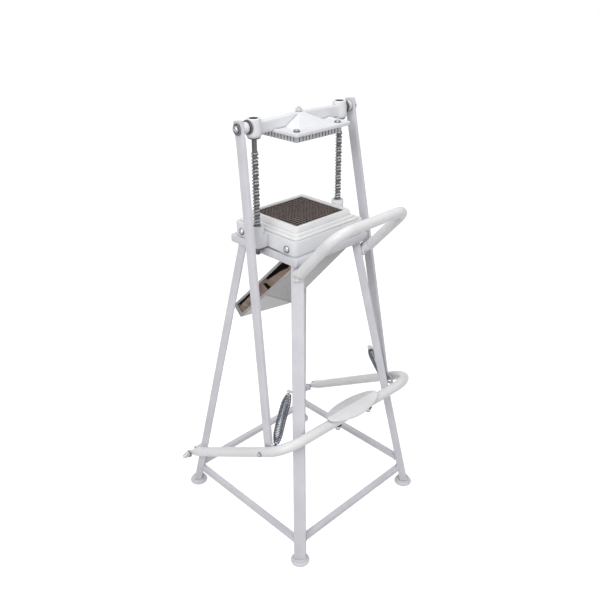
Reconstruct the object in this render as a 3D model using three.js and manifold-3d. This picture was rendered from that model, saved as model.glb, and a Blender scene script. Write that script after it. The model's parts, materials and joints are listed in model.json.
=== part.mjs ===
// Pedal french fry cutter on a four-legged stand.
// Millimetres, +Z up. X runs from the left legs to the right legs, and -Y faces the operator.
// The crosshead slides down the guide rods when the pedal pulls it by the two pull bars.

import * as THREE from 'three';
import { mergeVertices } from 'three/addons/utils/BufferGeometryUtils.js';
import Module from 'manifold-3d';

const wasm = await Module();
wasm.setup();
const { Manifold, Mesh: SolidMesh } = wasm;

// Fits shared by all pieces
const fit = 0.3;              // gap that pieces keep where they touch
const overrun = 6;            // how far a cutting tool passes its work
const mergeDistance = 1e-4;   // points closer than this are one

// Stand
const tableHeight = 750;      // lower edge of the table frame
const legTopHalfX = 97.5;     // leg axis at the table height
const legTopHalfY = 93.5;
const legWidth = 30;          // the wide faces look outwards along the diagonals
const legThickness = 20;
const legChamfer = 2;
const pedalLegInset = 25;     // foot of a leg, inside the pedal's arm
const linkBehindLeg = 49.4;   // link bolt behind the front legs, at its height

const footRadius = 23.5;
const footRimHeight = 5;
const footEdge = 1.5;
const footShoulderRadius = 21;
const footHeight = 13;
const footNeckRadius = 18;

const stretcherSize = 14;
const stretcherFront = 58;    // heights of the stretchers' middles
const stretcherLeft = 53;
const stretcherBack = 64;
const stretcherRight = 83;
const stretcherSetback = 3;   // side stretchers stop this far from the front and back ones

// Table frame of angle iron
const frameHalfX = 121;
const frameHalfY = 114;
const frameWall = 4;
const frameDepth = 18;
const frameFlangeWidth = 38;
const frameCorner = 5;

// Base casting with its two rod bosses
const castingHalfX = 115;
const castingHalfY = 104;
const castingHeight = 35;
const castingCorner = 12;
const castingWall = 8;
const castingArchRise = 4;
const castingArchHalf = 78;
const castingBoltOffset = 77;
const castingBoltHeight = 14; // above the casting's lower edge
const castingBoltRadius = 4.2;
const castingBoltHead = 8;
const castingBoltHeadHeight = 6;
const castingBoltEnd = 6;     // bolt past the casting's wall
const rodHalfSpan = 133;      // guide rods, from the middle
const rodRadius = 5.7;
const rodBossRadius = 15;
const rodBossRise = 19;       // above the casting's top
const rodBossDrop = 4;        // gap from the casting's lower edge up to the boss
const rodTail = 19;           // rod end below the boss
const rodNutRadius = 10;
const rodNutHeight = 9;
const springSeatDepth = 19;   // pocket for the spring, from the boss's top

// Knives
const cellPitch = 10;
const cellsAcross = 14;
const cellsDeep = 13;
const knifeThickness = 1.2;
const knifeHeight = 14;
const gridBorder = 4.7;
const knifeRecess = 9;        // knives below the holder's top face

// Stepped blade holder
const holderStepWide = 8.5;
const holderSideRim = 18.5;   // rim beside the opening on the top step
const holderFrontRim = 15.5;  // the same in front and behind
const holderTopStep = 14;
const holderMiddleStep = 5.5;
const holderLowStep = 4;
const holderCorner = 6;

// Crosshead
const pusherGap = 191;        // fingers above the knives at rest
const fingerLength = 13.7;
const fingerPlate = 3;
const fingerGap = 0.6;        // finger to knife, each side
const pusherInset = 1;        // finger plate inside the opening, each side
const pusherCorner = 1.2;
const headPlateHalfX = 86;
const headPlateHalfY = 82;
const headPlateThickness = 6;
const headPlateCorner = 8;
const headRimWidth = 7;
const headRimRise = 2;
const headTrayCorner = 4;
const beamWidth = 20;
const beamRoot = 1;           // beam sunk in the plate
const beamEndHeight = 21.5;
const beamMiddleHeight = 25;
const hubBaseHalf = 38;
const hubTopHalf = 9;
const headBossRadius = 16;
const headBossDrop = 6;       // boss below the head plate's lower face
const headBossHeight = 43;
const headBoreRadius = 9.4;
const bushHeight = 7;
const bushSink = 6;
const linkAxisHeight = 20;    // link bolts above the head plate's lower face
const linkHubRadius = 12;
const linkBoltRadius = 6;
const linkBoltDepth = 18;
const linkWasherRadius = 13;
const linkWasherThickness = 2.5;
const linkDomeRadius = 10;
const linkDomeLength = 7;
const plateBoltX = 64;
const plateBoltY = 59;
const plateBoltRadius = 2.6;
const plateBoltHead = 6.5;
const plateBoltHeadHeight = 5;
const centreNutRadius = 8;
const centreNutHeight = 7;
const centreStudRadius = 4;
const centreStudRise = 4;
const centreStudDepth = 12;

// Pedal, a bent tube. It is laid out in its own plane: across, and along the arms from the pins.
const pedalHalfX = 235;
const pedalTubeRadius = 12.5;
const pedalLeftBend = 65;
const pedalRightBend = 95;
const pedalPivotZ = 128.4;
const pinBeforeLeg = 2.1;     // pin in front of the back leg's axis
const pedalRestAngle = 30;    // degrees above level
const pedalTail = 17;         // arm behind the pin
const pedalLinkReach = 352;   // pin to the link bolt
const pedalLeftLead = 80;     // link bolt to the left front corner
const pedalRightLead = 122;   // link bolt to the right front corner
const pedalPinRadius = 6;
const pedalPinReach = 21;     // pin beyond the arm
const pedalPinChamfer = 1.5;
const pedalPinStart = 24;     // pin's inner end, from the leg's axis
const pedalLugRadius = 17;
const pinWasherRadius = 11;
const pinWasherThickness = 2;
const pedalBoltRadius = 4;
const pedalBoltHead = 7.5;
const pedalBoltHeadHeight = 5.5;
const pedalWasherRadius = 8;
const pedalWasherThickness = 1.5;
const pedalNutRadius = 6.5;
const pedalNutHeight = 4.5;
const eyeAhead = 14;          // spring eye ahead of the link bolt, along the arm
const eyeStrapHalf = 4;
const eyeStrapThickness = 3.5;

// Foot plate on the pedal's front bar
const treadLength = 160;
const treadShift = 13;        // towards the left, from the front bar's middle
const treadRear = 36;         // from the bar to the plate's rear edge
const treadFront = 27;
const treadEndShare = 0.4;    // half widths at the plate's ends
const treadBulgeShare = 1.6;
const treadTipShare = 1.04;
const treadThickness = 3;
const treadCrown = 5;
const treadBoltSpan = 104;
const treadBoltRadius = 4;
const treadBoltDepth = 4;     // how deep the bolts stand in the tread
const treadPadHalf = 8;
const treadNutRadius = 6.8;
const treadNutLength = 11;

// Pull bars
const pullBarWidth = 21;
const pullBarThickness = 8.5;
const pullBarTopX = 173;      // middle of the bar at the crosshead
const pullBarHead = 17;       // bar above the upper pivot
const pullBarStraight = 30;   // upright part before the bar splays
const pullBarLap = 8;         // bar on its lower plate
const pullPlateThickness = 5;
const pullPlateGap = 1.2;     // lower plate to the pedal's arm
const pullPlateAhead = 25;    // the lower plate's edges, from the bolt at rest
const pullPlateBehind = 10.5;
const pullPlateBelow = 10;
const pullPlateAbove = 20;
const pullPlateCorner = 4;
const pullSlotHalfLength = 13.5;
const pullSlotHalfHeight = 5.8;
const pullSlotShift = 7;      // slot's middle ahead of the bolt at rest

// Springs
const rodSpringWire = 1.9;
const rodSpringRadius = 7.6;  // to the middle of the wire
const rodSpringLength = 188;
const springPocketGap = 0.85; // spring to its pocket in the casting
const rodSpringCurls = 18;
const pedalSpringWire = 3;
const pedalSpringRadius = 9.6;
const pedalSpringCurls = 13;
const pedalSpringTaper = 3;   // curls over which each end narrows
const pedalSpringEndShare = 0.35;
const pedalSpringRise = 128.6; // anchors above the link bolts
const springDiscRadius = 6;
const springDiscThickness = 5;
const anchorAside = 3;        // anchor outside the front leg's axis
const anchorBehind = 29.8;    // anchor behind it
const anchorStudRadius = 2.3;

// Grab handle
const handleRadius = 12;
const handleHalfX = 118;
const handleFrontY = 232;
const handleRise = 109;       // front bar above the table height
const handleFootDrop = 23;    // tube's end below it
const handleBendRadius = 45;
const handleTabThickness = 6;
const handleTabBelow = 17;    // flattened end, from the tube's end
const handleTabAbove = 9;
const handleTabWidth = 25;
const handleFlattening = 14;  // length over which the tube flattens
const handleEndDisc = 1;
const handleBoltRadius = 3;
const handleBoltHead = 6;
const handleBoltHeadHeight = 4;
const handleBoltRise = 7;     // bolt above the flattened end's lower edge
const handleBoltDepth = 5;

// Chute of folded sheet
const chuteHalfX = 85;
const chuteSheet = 2;
const chuteSlope = 45;        // degrees
const chuteDepth = 37;        // side walls, square to the floor
const chuteFloorStart = 110;  // floor's front edge, in front of the middle
const chuteFloorEnd = 133;    // floor's lower edge, behind the middle
const chuteRimWidth = 5;
const chuteRimProud = 1.5;
const chuteTopInsetShare = 2; // panel inside the rim's two sharp corners
const chuteLipInsetShare = 1.4;
const chuteTwist = 20;        // the right lower corner hangs lower than the left
const chuteFoldShare = 0.58;  // the fold starts at this share of the left edge
const chutePanelThickness = 1.5;

// Bolt heads: the dome's straight part, shoulder and crown
const domeStraightShare = 0.45;
const domeShoulderShare = 0.88;
const domeCrownShare = 0.65;

// Heights and widths worked out from the sizes above
const degree = Math.PI / 180;
const restAngle = pedalRestAngle * degree;
const frameTop = tableHeight + frameDepth;
const castingBase = frameTop + fit;
const castingTop = castingBase + castingHeight;
const rodBossTop = castingTop + rodBossRise;
const rodBossBase = castingBase + rodBossDrop;
const springSeat = rodBossTop - springSeatDepth;
const springPocketRadius = rodSpringRadius + rodSpringWire / 2 + springPocketGap;
const holderBase = castingTop + fit;
const holderTop = holderBase + holderLowStep + holderMiddleStep + holderTopStep;
const knifeTop = holderTop - knifeRecess;
const knifeBase = knifeTop - knifeHeight;
const openingHalfX = cellPitch * cellsAcross / 2;
const openingHalfY = cellPitch * cellsDeep / 2;
const fingerTip = knifeTop + pusherGap;
const fingerRoot = fingerTip + fingerLength;
const headPlateBase = fingerRoot + fingerPlate + fit;
const headPlateTop = headPlateBase + headPlateThickness;
const headBossBase = headPlateBase - headBossDrop;
const headBossTop = headBossBase + headBossHeight;
const beamTop = headPlateTop + beamMiddleHeight;
const linkZ = headPlateBase + linkAxisHeight;
const linkHubX = pullBarTopX - pullBarThickness / 2 - fit;
const pullTopOuter = pullBarTopX + pullBarThickness / 2;
const pedalOuter = pedalHalfX + pedalTubeRadius;
const pedalInner = pedalHalfX - pedalTubeRadius;
const pullPlateOuter = pedalInner - pullPlateGap;
const pullPlateInner = pullPlateOuter - pullPlateThickness;
const eyeStrapOuter = pullPlateInner - fit - pedalWasherThickness - pedalNutHeight;
const eyeStrapX = eyeStrapOuter - eyeStrapThickness / 2;
const pedalBoltZ = pedalPivotZ + pedalLinkReach * Math.sin(restAngle);
const anchorZ = pedalBoltZ + pedalSpringRise;
const handleTopZ = tableHeight + handleRise;
const handleFootZ = tableHeight - handleFootDrop;

// The legs splay so that the pedal clears them: its arms pass outside all four,
// its pins stand at the back legs and its link bolts just behind the front legs
const legFootHalfX = pedalHalfX - pedalLegInset;
const pinShare = pedalPivotZ / tableHeight;
const boltShare = pedalBoltZ / tableHeight;
const pinToBolt = pedalLinkReach * Math.cos(restAngle);
const splayRun = pinToBolt + linkBehindLeg + pinBeforeLeg - legTopHalfY * (pinShare + boltShare);
const legFootHalfY = splayRun / (2 - pinShare - boltShare);
const legHalfX = (z) => legFootHalfX + (legTopHalfX - legFootHalfX) * z / tableHeight;
const legHalfY = (z) => legFootHalfY + (legTopHalfY - legFootHalfY) * z / tableHeight;
const pedalPivotY = legHalfY(pedalPivotZ) - pinBeforeLeg;

const sides = [['left', -1], ['right', 1]];
const ends = [['front', -1], ['back', 1]];
const allCorners = [[1, 1], [-1, 1], [-1, -1], [1, -1]];
const at = (x, y, z) => new THREE.Vector3(x, y, z);
const upward = at(0, 0, 1);
const backward = at(0, 1, 0);
const outward = (sx) => at(sx, 0, 0);
const move = (x, y, z) => new THREE.Matrix4().makeTranslation(x, y, z);

// Solid helpers

function signedVolume(positions, index) {
  const a = at(0, 0, 0);
  const b = at(0, 0, 0);
  const c = at(0, 0, 0);
  let sum = 0;
  for (let i = 0; i < index.count; i += 3) {
    a.fromBufferAttribute(positions, index.getX(i));
    b.fromBufferAttribute(positions, index.getX(i + 1));
    c.fromBufferAttribute(positions, index.getX(i + 2));
    sum += a.dot(b.cross(c));
  }
  return sum / 6;
}

function solid(geometry, matrix = new THREE.Matrix4()) {
  const bare = geometry.clone();
  bare.deleteAttribute('normal');
  bare.deleteAttribute('uv');
  const merged = mergeVertices(bare.applyMatrix4(matrix), mergeDistance);
  const positions = merged.attributes.position;
  const triVerts = Uint32Array.from(merged.index.array);
  if (signedVolume(positions, merged.index) < 0) {
    for (let i = 0; i < triVerts.length; i += 3) {
      [triVerts[i], triVerts[i + 1]] = [triVerts[i + 1], triVerts[i]];
    }
  }
  return new Manifold(new SolidMesh({ numProp: 3, vertProperties: positions.array, triVerts }));
}

function geometryOf(body) {
  const mesh = body.getMesh();
  const geometry = new THREE.BufferGeometry();
  const positions = Float32Array.from(mesh.vertProperties);
  geometry.setAttribute('position', new THREE.BufferAttribute(positions, 3));
  geometry.setIndex(Array.from(mesh.triVerts));
  geometry.computeVertexNormals();
  return geometry;
}

function block(x0, x1, y0, y1, z0, z1) {
  const box = new THREE.BoxGeometry(x1 - x0, y1 - y0, z1 - z0);
  return solid(box, move((x0 + x1) / 2, (y0 + y1) / 2, (z0 + z1) / 2));
}

// Axes whose Z points along a direction, with Y kept towards a given side
function axesAlong(origin, direction, side) {
  const z = direction.clone().normalize();
  const y = side.clone().addScaledVector(z, -side.dot(z)).normalize();
  const x = y.clone().cross(z);
  return new THREE.Matrix4().makeBasis(x, y, z).setPosition(origin);
}

function rod(from, to, radius, facets) {
  const run = to.clone().sub(from);
  const side = Math.abs(run.x) > Math.abs(run.z) ? upward : outward(1);
  const cylinder = new THREE.CylinderGeometry(radius, radius, run.length(), facets);
  cylinder.rotateX(Math.PI / 2).translate(0, 0, run.length() / 2);
  return solid(cylinder, axesAlong(from, run, side));
}

const upright = (x, y, z0, z1, radius, facets) => rod(at(x, y, z0), at(x, y, z1), radius, facets);

// A turned piece: the profile lists distance along the axis and radius
function turned(profile, seat, direction, side, facets) {
  const points = profile.map(([along, radius]) => new THREE.Vector2(radius, along));
  const lathe = new THREE.LatheGeometry(points, facets);
  return solid(lathe.rotateX(Math.PI / 2), axesAlong(seat, direction, side));
}

// Profile of a dome-headed bolt, with its head seated at zero
function domeBolt(headRadius, headHeight, shankRadius, shankLength) {
  return [
    [-shankLength, 0],
    [-shankLength, shankRadius],
    [0, shankRadius],
    [0, headRadius],
    [headHeight * domeStraightShare, headRadius],
    [headHeight * domeShoulderShare, headRadius * domeCrownShare],
    [headHeight, 0],
  ];
}

function roundedShape(halfX, halfY, radius) {
  const shape = new THREE.Shape();
  shape.absarc(halfX - radius, halfY - radius, radius, 0, Math.PI / 2);
  shape.absarc(radius - halfX, halfY - radius, radius, Math.PI / 2, Math.PI);
  shape.absarc(radius - halfX, radius - halfY, radius, Math.PI, 1.5 * Math.PI);
  shape.absarc(halfX - radius, radius - halfY, radius, 1.5 * Math.PI, 2 * Math.PI);
  return shape;
}

function extruded(shape, depth, matrix, curveSegments = 2) {
  const settings = { depth, bevelEnabled: false, curveSegments };
  return solid(new THREE.ExtrudeGeometry(shape, settings), matrix);
}

function roundedSlab(halfX, halfY, radius, z0, z1, curveSegments) {
  return extruded(roundedShape(halfX, halfY, radius), z1 - z0, move(0, 0, z0), curveSegments);
}

function outline(shape, points) {
  points.forEach(([x, y], i) => (i === 0 ? shape.moveTo(x, y) : shape.lineTo(x, y)));
  return shape;
}

// A tube's centre line: straight runs with an arc at each corner
class BentPath extends THREE.Curve {
  constructor(corners, radii, arcSteps) {
    super();
    this.stops = [corners[0]];
    radii.forEach((radius, i) => this.addArc(...corners.slice(i, i + 3), radius, arcSteps));
    this.stops.push(corners[corners.length - 1]);
  }

  addArc(before, corner, after, radius, arcSteps) {
    const back = before.clone().sub(corner).normalize();
    const ahead = after.clone().sub(corner).normalize();
    const half = back.angleTo(ahead) / 2;
    const middle = back.clone().add(ahead).normalize();
    const centre = middle.multiplyScalar(radius / Math.sin(half)).add(corner);
    const start = corner.clone().addScaledVector(back, radius / Math.tan(half)).sub(centre);
    const end = corner.clone().addScaledVector(ahead, radius / Math.tan(half)).sub(centre);
    const turn = Math.PI - 2 * half;
    for (let i = 0; i <= arcSteps; i++) {
      const share = i / arcSteps;
      const point = start.clone().multiplyScalar(Math.sin((1 - share) * turn) / Math.sin(turn));
      point.addScaledVector(end, Math.sin(share * turn) / Math.sin(turn));
      this.stops.push(point.add(centre));
    }
  }

  getPoint(t) {
    const place = Math.min(Math.max(t, 0), 1) * (this.stops.length - 1);
    const i = Math.min(Math.floor(place), this.stops.length - 2);
    return this.stops[i].clone().lerp(this.stops[i + 1], place - i);
  }

  getTangent(t) {
    const i = Math.round(t * (this.stops.length - 1));
    const before = this.stops[Math.max(i - 1, 0)];
    const after = this.stops[Math.min(i + 1, this.stops.length - 1)];
    const here = this.stops[i];
    const into = here.clone().sub(before).normalize();
    const out = after.clone().sub(here).normalize();
    return into.add(out).normalize();
  }

  getPointAt(u) {
    return this.getPoint(u);
  }

  getTangentAt(u) {
    return this.getTangent(u);
  }
}

function tube(path, radius, facets) {
  const circle = [];
  for (let i = 0; i < facets; i++) {
    const turn = 2 * Math.PI * i / facets;
    circle.push([radius * Math.cos(turn), radius * Math.sin(turn)]);
  }
  const settings = { steps: path.stops.length - 1, extrudePath: path, bevelEnabled: false };
  return solid(new THREE.ExtrudeGeometry(outline(new THREE.Shape(), circle), settings));
}

// Finishes, and the group that holds every piece
const cutter = new THREE.Group();
const finishes = {
  paint: new THREE.MeshStandardMaterial({ color: 0xe6e6ea, roughness: 0.45, metalness: 0 }),
  bright: new THREE.MeshStandardMaterial({ color: 0xf2f2f2, roughness: 0.4, metalness: 0 }),
  steel: new THREE.MeshStandardMaterial({ color: 0x9a9a9c, roughness: 0.35, metalness: 1 }),
  chrome: new THREE.MeshStandardMaterial({ color: 0xd8d8da, roughness: 0.15, metalness: 1 }),
  spring: new THREE.MeshStandardMaterial({ color: 0x6c6c6e, roughness: 0.4, metalness: 1 }),
  knives: new THREE.MeshStandardMaterial({ color: 0x5f524c, roughness: 0.45, metalness: 0.6 }),
  bare: new THREE.MeshStandardMaterial({ color: 0x82736a, roughness: 0.5, metalness: 0.5 }),
};

function add(name, body, finish) {
  const geometry = body instanceof THREE.BufferGeometry ? body : geometryOf(body);
  const mesh = new THREE.Mesh(geometry, finishes[finish]);
  mesh.name = name;
  cutter.add(mesh);
}

// Legs, feet and stretchers
const legAxis = (sx, sy, z) => at(sx * legHalfX(z), sy * legHalfY(z), z);

function legPrism(sx, sy, grow) {
  const wide = legWidth / 2 + grow;
  const thick = legThickness / 2 + grow;
  const cut = legChamfer;
  const section = outline(new THREE.Shape(), [
    [wide - cut, -thick], [wide, cut - thick], [wide, thick - cut], [wide - cut, thick],
    [cut - wide, thick], [-wide, thick - cut], [-wide, cut - thick], [cut - wide, -thick],
  ]);
  const from = legAxis(sx, sy, -overrun);
  const run = legAxis(sx, sy, frameTop).sub(from);
  return extruded(section, run.length(), axesAlong(from, run, at(sx, sy, 0)));
}

const grownLegs = {};
for (const [end, sy] of ends) {
  for (const [side, sx] of sides) grownLegs[`${end}_${side}`] = legPrism(sx, sy, fit);
}
const reach = 2 * pedalHalfX;
const layer = (z0, z1) => block(-reach, reach, -reach, reach, z0, z1);

function addLeg(end, sy, side, sx) {
  const legTop = frameTop - frameWall - fit;
  const leg = legPrism(sx, sy, 0).intersect(layer(footHeight + fit, legTop));
  add(`leg_${end}_${side}`, leg, 'paint');
  const profile = [
    [0, 0],
    [0, footRadius - footEdge],
    [footEdge, footRadius],
    [footRimHeight - footEdge, footRadius],
    [footRimHeight, footShoulderRadius],
    [footHeight, footNeckRadius],
    [footHeight, 0],
  ];
  const ankle = legAxis(sx, sy, footHeight);
  const foot = turned(profile, at(ankle.x, ankle.y, 0), upward, backward, 12);
  add(`foot_${end}_${side}`, foot, 'paint');
}

function stretcher(from, to, z) {
  const start = legAxis(...from, z);
  const finish = legAxis(...to, z);
  const half = stretcherSize / 2;
  const short = half + stretcherSetback;
  const bar = start.y === finish.y
    ? block(start.x, finish.x, start.y - half, start.y + half, z - half, z + half)
    : block(start.x - half, start.x + half, start.y + short, finish.y - short, z - half, z + half);
  return Object.values(grownLegs).reduce((rest, leg) => rest.subtract(leg), bar);
}

function addStand() {
  for (const [end, sy] of ends) {
    for (const [side, sx] of sides) addLeg(end, sy, side, sx);
  }
  add('stretcher_front', stretcher([-1, -1], [1, -1], stretcherFront), 'paint');
  add('stretcher_left', stretcher([-1, -1], [-1, 1], stretcherLeft), 'paint');
  add('stretcher_back', stretcher([-1, 1], [1, 1], stretcherBack), 'paint');
  add('stretcher_right', stretcher([1, -1], [1, 1], stretcherRight), 'paint');
}

// Table frame: angle iron with its flange on top
function addTableFrame() {
  const low = tableHeight - overrun;
  const innerX = frameHalfX - frameWall;
  const innerY = frameHalfY - frameWall;
  const windowX = frameHalfX - frameFlangeWidth;
  const windowY = frameHalfY - frameFlangeWidth;
  const ring = roundedSlab(frameHalfX, frameHalfY, frameCorner, tableHeight, frameTop);
  const inside = roundedSlab(innerX, innerY, frameCorner - frameWall, low, frameTop - frameWall);
  const window = roundedSlab(windowX, windowY, frameCorner, low, frameTop + overrun);
  add('table_frame', ring.subtract(inside).subtract(window), 'paint');
}

// Base casting: a hollow block on an arched foot, with a boss for each guide rod
function addCasting() {
  const innerX = castingHalfX - castingWall;
  const innerY = castingHalfY - castingWall;
  const low = castingBase - overrun;
  const throatX = openingHalfX + fit;
  const throatY = openingHalfY + fit;
  let casting = roundedSlab(castingHalfX, castingHalfY, castingCorner, castingBase, castingTop);
  const pocketTop = castingTop - castingWall;
  casting = casting.subtract(roundedSlab(innerX, innerY, castingCorner - castingWall, low, pocketTop));
  casting = casting.subtract(block(-throatX, throatX, -throatY, throatY, low, castingTop + overrun));
  for (const [, sx] of sides) {
    const x = sx * rodHalfSpan;
    const wall = sx * innerX;
    const [x0, x1] = [Math.min(x, wall), Math.max(x, wall)];
    casting = casting.add(upright(x, 0, rodBossBase, rodBossTop, rodBossRadius, 16));
    casting = casting.add(block(x0, x1, -rodBossRadius, rodBossRadius, rodBossBase, castingTop));
  }
  const archRadius = (castingArchHalf ** 2 + castingArchRise ** 2) / (2 * castingArchRise);
  const archCentre = castingBase + castingArchRise - archRadius;
  const archReach = castingHalfX + overrun;
  const arch = rod(at(-archReach, 0, archCentre), at(archReach, 0, archCentre), archRadius, 96);
  const archRoom = block(-archReach, archReach, -castingArchHalf, castingArchHalf, low, castingTop);
  casting = casting.subtract(arch.intersect(archRoom));
  for (const [, sx] of sides) {
    const x = sx * rodHalfSpan;
    const top = rodBossTop + overrun;
    casting = casting.subtract(upright(x, 0, rodBossBase - overrun, top, rodRadius + fit, 10));
    casting = casting.subtract(upright(x, 0, springSeat, top, springPocketRadius, 12));
  }
  const boltZ = castingBase + castingBoltHeight;
  for (const [, sy] of ends) {
    const y = sy * castingBoltOffset;
    const hole = rod(at(-archReach, y, boltZ), at(archReach, y, boltZ), castingBoltRadius + fit, 6);
    casting = casting.subtract(hole);
  }
  add('casting', casting, 'paint');
  const shank = castingWall + castingBoltEnd;
  const profile = domeBolt(castingBoltHead, castingBoltHeadHeight, castingBoltRadius, shank);
  for (const [end, sy] of ends) {
    for (const [side, sx] of sides) {
      const seat = at(sx * (castingHalfX + fit), sy * castingBoltOffset, boltZ);
      add(`casting_bolt_${end}_${side}`, turned(profile, seat, outward(sx), upward, 6), 'chrome');
    }
  }
}

// Stepped blade holder, with a pocket for the knives under its opening
function addBladeHolder() {
  const x = openingHalfX + holderSideRim;
  const y = openingHalfY + holderFrontRim;
  const wide = holderStepWide;
  const lowTop = holderBase + holderLowStep;
  const middleTop = lowTop + holderMiddleStep;
  const pocketX = openingHalfX + gridBorder + fit;
  const pocketY = openingHalfY + gridBorder + fit;
  const low = holderBase - overrun;
  const high = holderTop + overrun;
  let holder = roundedSlab(x + 2 * wide, y + 2 * wide, holderCorner, holderBase, lowTop);
  holder = holder.add(roundedSlab(x + wide, y + wide, holderCorner, holderBase, middleTop));
  holder = holder.add(roundedSlab(x, y, holderCorner, holderBase, holderTop));
  holder = holder.subtract(block(-openingHalfX, openingHalfX, -openingHalfY, openingHalfY, low, high));
  holder = holder.subtract(block(-pocketX, pocketX, -pocketY, pocketY, low, knifeTop + fit));
  add('blade_holder', holder, 'paint');
}

// One block for each opening between the knives
function cellBlocks(half, z0, z1) {
  const blocks = [];
  for (let i = 0; i < cellsAcross; i++) {
    for (let j = 0; j < cellsDeep; j++) {
      const x = (i + 0.5) * cellPitch - openingHalfX;
      const y = (j + 0.5) * cellPitch - openingHalfY;
      blocks.push(block(x - half, x + half, y - half, y + half, z0, z1));
    }
  }
  return blocks;
}

// Knife grid: crossed knives in a thin border
function addKnifeGrid() {
  const halfX = openingHalfX + gridBorder;
  const halfY = openingHalfY + gridBorder;
  const holeHalf = (cellPitch - knifeThickness) / 2;
  const plate = block(-halfX, halfX, -halfY, halfY, knifeBase, knifeTop);
  const holes = cellBlocks(holeHalf, knifeBase - overrun, knifeTop + overrun);
  add('knife_grid', plate.subtract(Manifold.union(holes)), 'knives');
}

// Crosshead casting: beam, bosses, pyramid hub and a square plate with a rim
function headBeam() {
  const root = headPlateTop - beamRoot;
  const endTop = headPlateTop + beamEndHeight;
  const profile = outline(new THREE.Shape(), [
    [-rodHalfSpan, root], [rodHalfSpan, root], [rodHalfSpan, endTop],
    [hubTopHalf, beamTop], [-hubTopHalf, beamTop], [-rodHalfSpan, endTop],
  ]);
  const axes = new THREE.Matrix4().makeBasis(outward(1), upward, at(0, -1, 0));
  return extruded(profile, beamWidth, axes.setPosition(0, beamWidth / 2, 0));
}

function headHub() {
  const topRadius = hubTopHalf * Math.SQRT2;
  const baseRadius = hubBaseHalf * Math.SQRT2;
  const height = beamMiddleHeight;
  const cone = new THREE.CylinderGeometry(topRadius, baseRadius, height, 4, 1, false, Math.PI / 4);
  return solid(cone.rotateX(Math.PI / 2), move(0, 0, headPlateTop + height / 2));
}

function drillPlate(body, z0, z1) {
  const drill = (rest, [sx, sy]) => {
    const hole = upright(sx * plateBoltX, sy * plateBoltY, z0, z1, plateBoltRadius + fit, 8);
    return rest.subtract(hole);
  };
  return allCorners.reduce(drill, body);
}

function addCrosshead() {
  const trayX = headPlateHalfX - headRimWidth;
  const trayY = headPlateHalfY - headRimWidth;
  const rimTop = headPlateTop + headRimRise;
  let head = roundedSlab(headPlateHalfX, headPlateHalfY, headPlateCorner, headPlateBase, rimTop);
  head = head.subtract(roundedSlab(trayX, trayY, headTrayCorner, headPlateTop, rimTop + overrun));
  head = head.add(headBeam()).add(headHub());
  for (const [, sx] of sides) {
    const x = sx * rodHalfSpan;
    head = head.add(upright(x, 0, headBossBase, headBossTop, headBossRadius, 16));
    head = head.add(rod(at(x, 0, linkZ), at(sx * linkHubX, 0, linkZ), linkHubRadius, 12));
  }
  for (const [, sx] of sides) {
    const low = headBossBase - overrun;
    const high = headBossTop + overrun;
    const inner = at(sx * (linkHubX - linkBoltDepth), 0, linkZ);
    const outer = at(sx * (linkHubX + overrun), 0, linkZ);
    head = head.subtract(upright(sx * rodHalfSpan, 0, low, high, headBoreRadius, 12));
    head = head.subtract(rod(inner, outer, linkBoltRadius + fit, 12));
  }
  head = drillPlate(head, headPlateBase - overrun, headPlateTop + overrun);
  const studBase = beamTop - centreStudDepth - fit;
  head = head.subtract(upright(0, 0, studBase, beamTop + overrun, centreStudRadius + fit, 8));
  add('crosshead', head, 'paint');
  const nut = [
    [-centreStudDepth, 0],
    [-centreStudDepth, centreStudRadius],
    [0, centreStudRadius],
    [0, centreNutRadius],
    [centreNutHeight, centreNutRadius],
    [centreNutHeight, centreStudRadius],
    [centreNutHeight + centreStudRise, centreStudRadius],
    [centreNutHeight + centreStudRise, 0],
  ];
  add('centre_stud', turned(nut, at(0, 0, beamTop + fit), upward, backward, 8), 'chrome');
}

// Guide rods with a nut under the casting, and the crosshead's bushes
function addGuides() {
  const bushTop = headBossTop - bushSink;
  const bushBase = bushTop - bushHeight;
  const nutTop = rodBossBase - fit;
  for (const [side, sx] of sides) {
    const x = sx * rodHalfSpan;
    const ring = upright(x, 0, bushBase, bushTop, headBoreRadius - fit, 12);
    const bore = upright(x, 0, bushBase - overrun, bushTop + overrun, rodRadius + fit, 10);
    add(`bush_${side}`, ring.subtract(bore), 'steel');
    const shaft = upright(x, 0, rodBossBase - rodTail, bushTop, rodRadius, 10);
    const nut = upright(x, 0, nutTop - rodNutHeight, nutTop, rodNutRadius, 6);
    add(`guide_rod_${side}`, shaft.add(nut), 'steel');
  }
}

// Finger block that pushes the potato through the knives
function addPusher() {
  const half = (cellPitch - knifeThickness) / 2 - fingerGap;
  const x = openingHalfX - pusherInset;
  const y = openingHalfY - pusherInset;
  const plate = roundedSlab(x, y, pusherCorner, fingerRoot, fingerRoot + fingerPlate, 1);
  const pusher = Manifold.union([plate, ...cellBlocks(half, fingerTip, fingerRoot + fit)]);
  add('pusher', drillPlate(pusher, fingerRoot + fit, headPlateBase + overrun), 'steel');
  const shank = headPlateThickness + fingerPlate - fit;
  const profile = [
    [-shank, 0],
    [-shank, plateBoltRadius],
    [0, plateBoltRadius],
    [0, plateBoltHead],
    [plateBoltHeadHeight, plateBoltHead],
    [plateBoltHeadHeight, 0],
  ];
  allCorners.forEach(([sx, sy], i) => {
    const seat = at(sx * plateBoltX, sy * plateBoltY, headPlateTop + fit);
    add(`pusher_bolt_${i + 1}`, turned(profile, seat, upward, backward, 6), 'chrome');
  });
}

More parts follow.
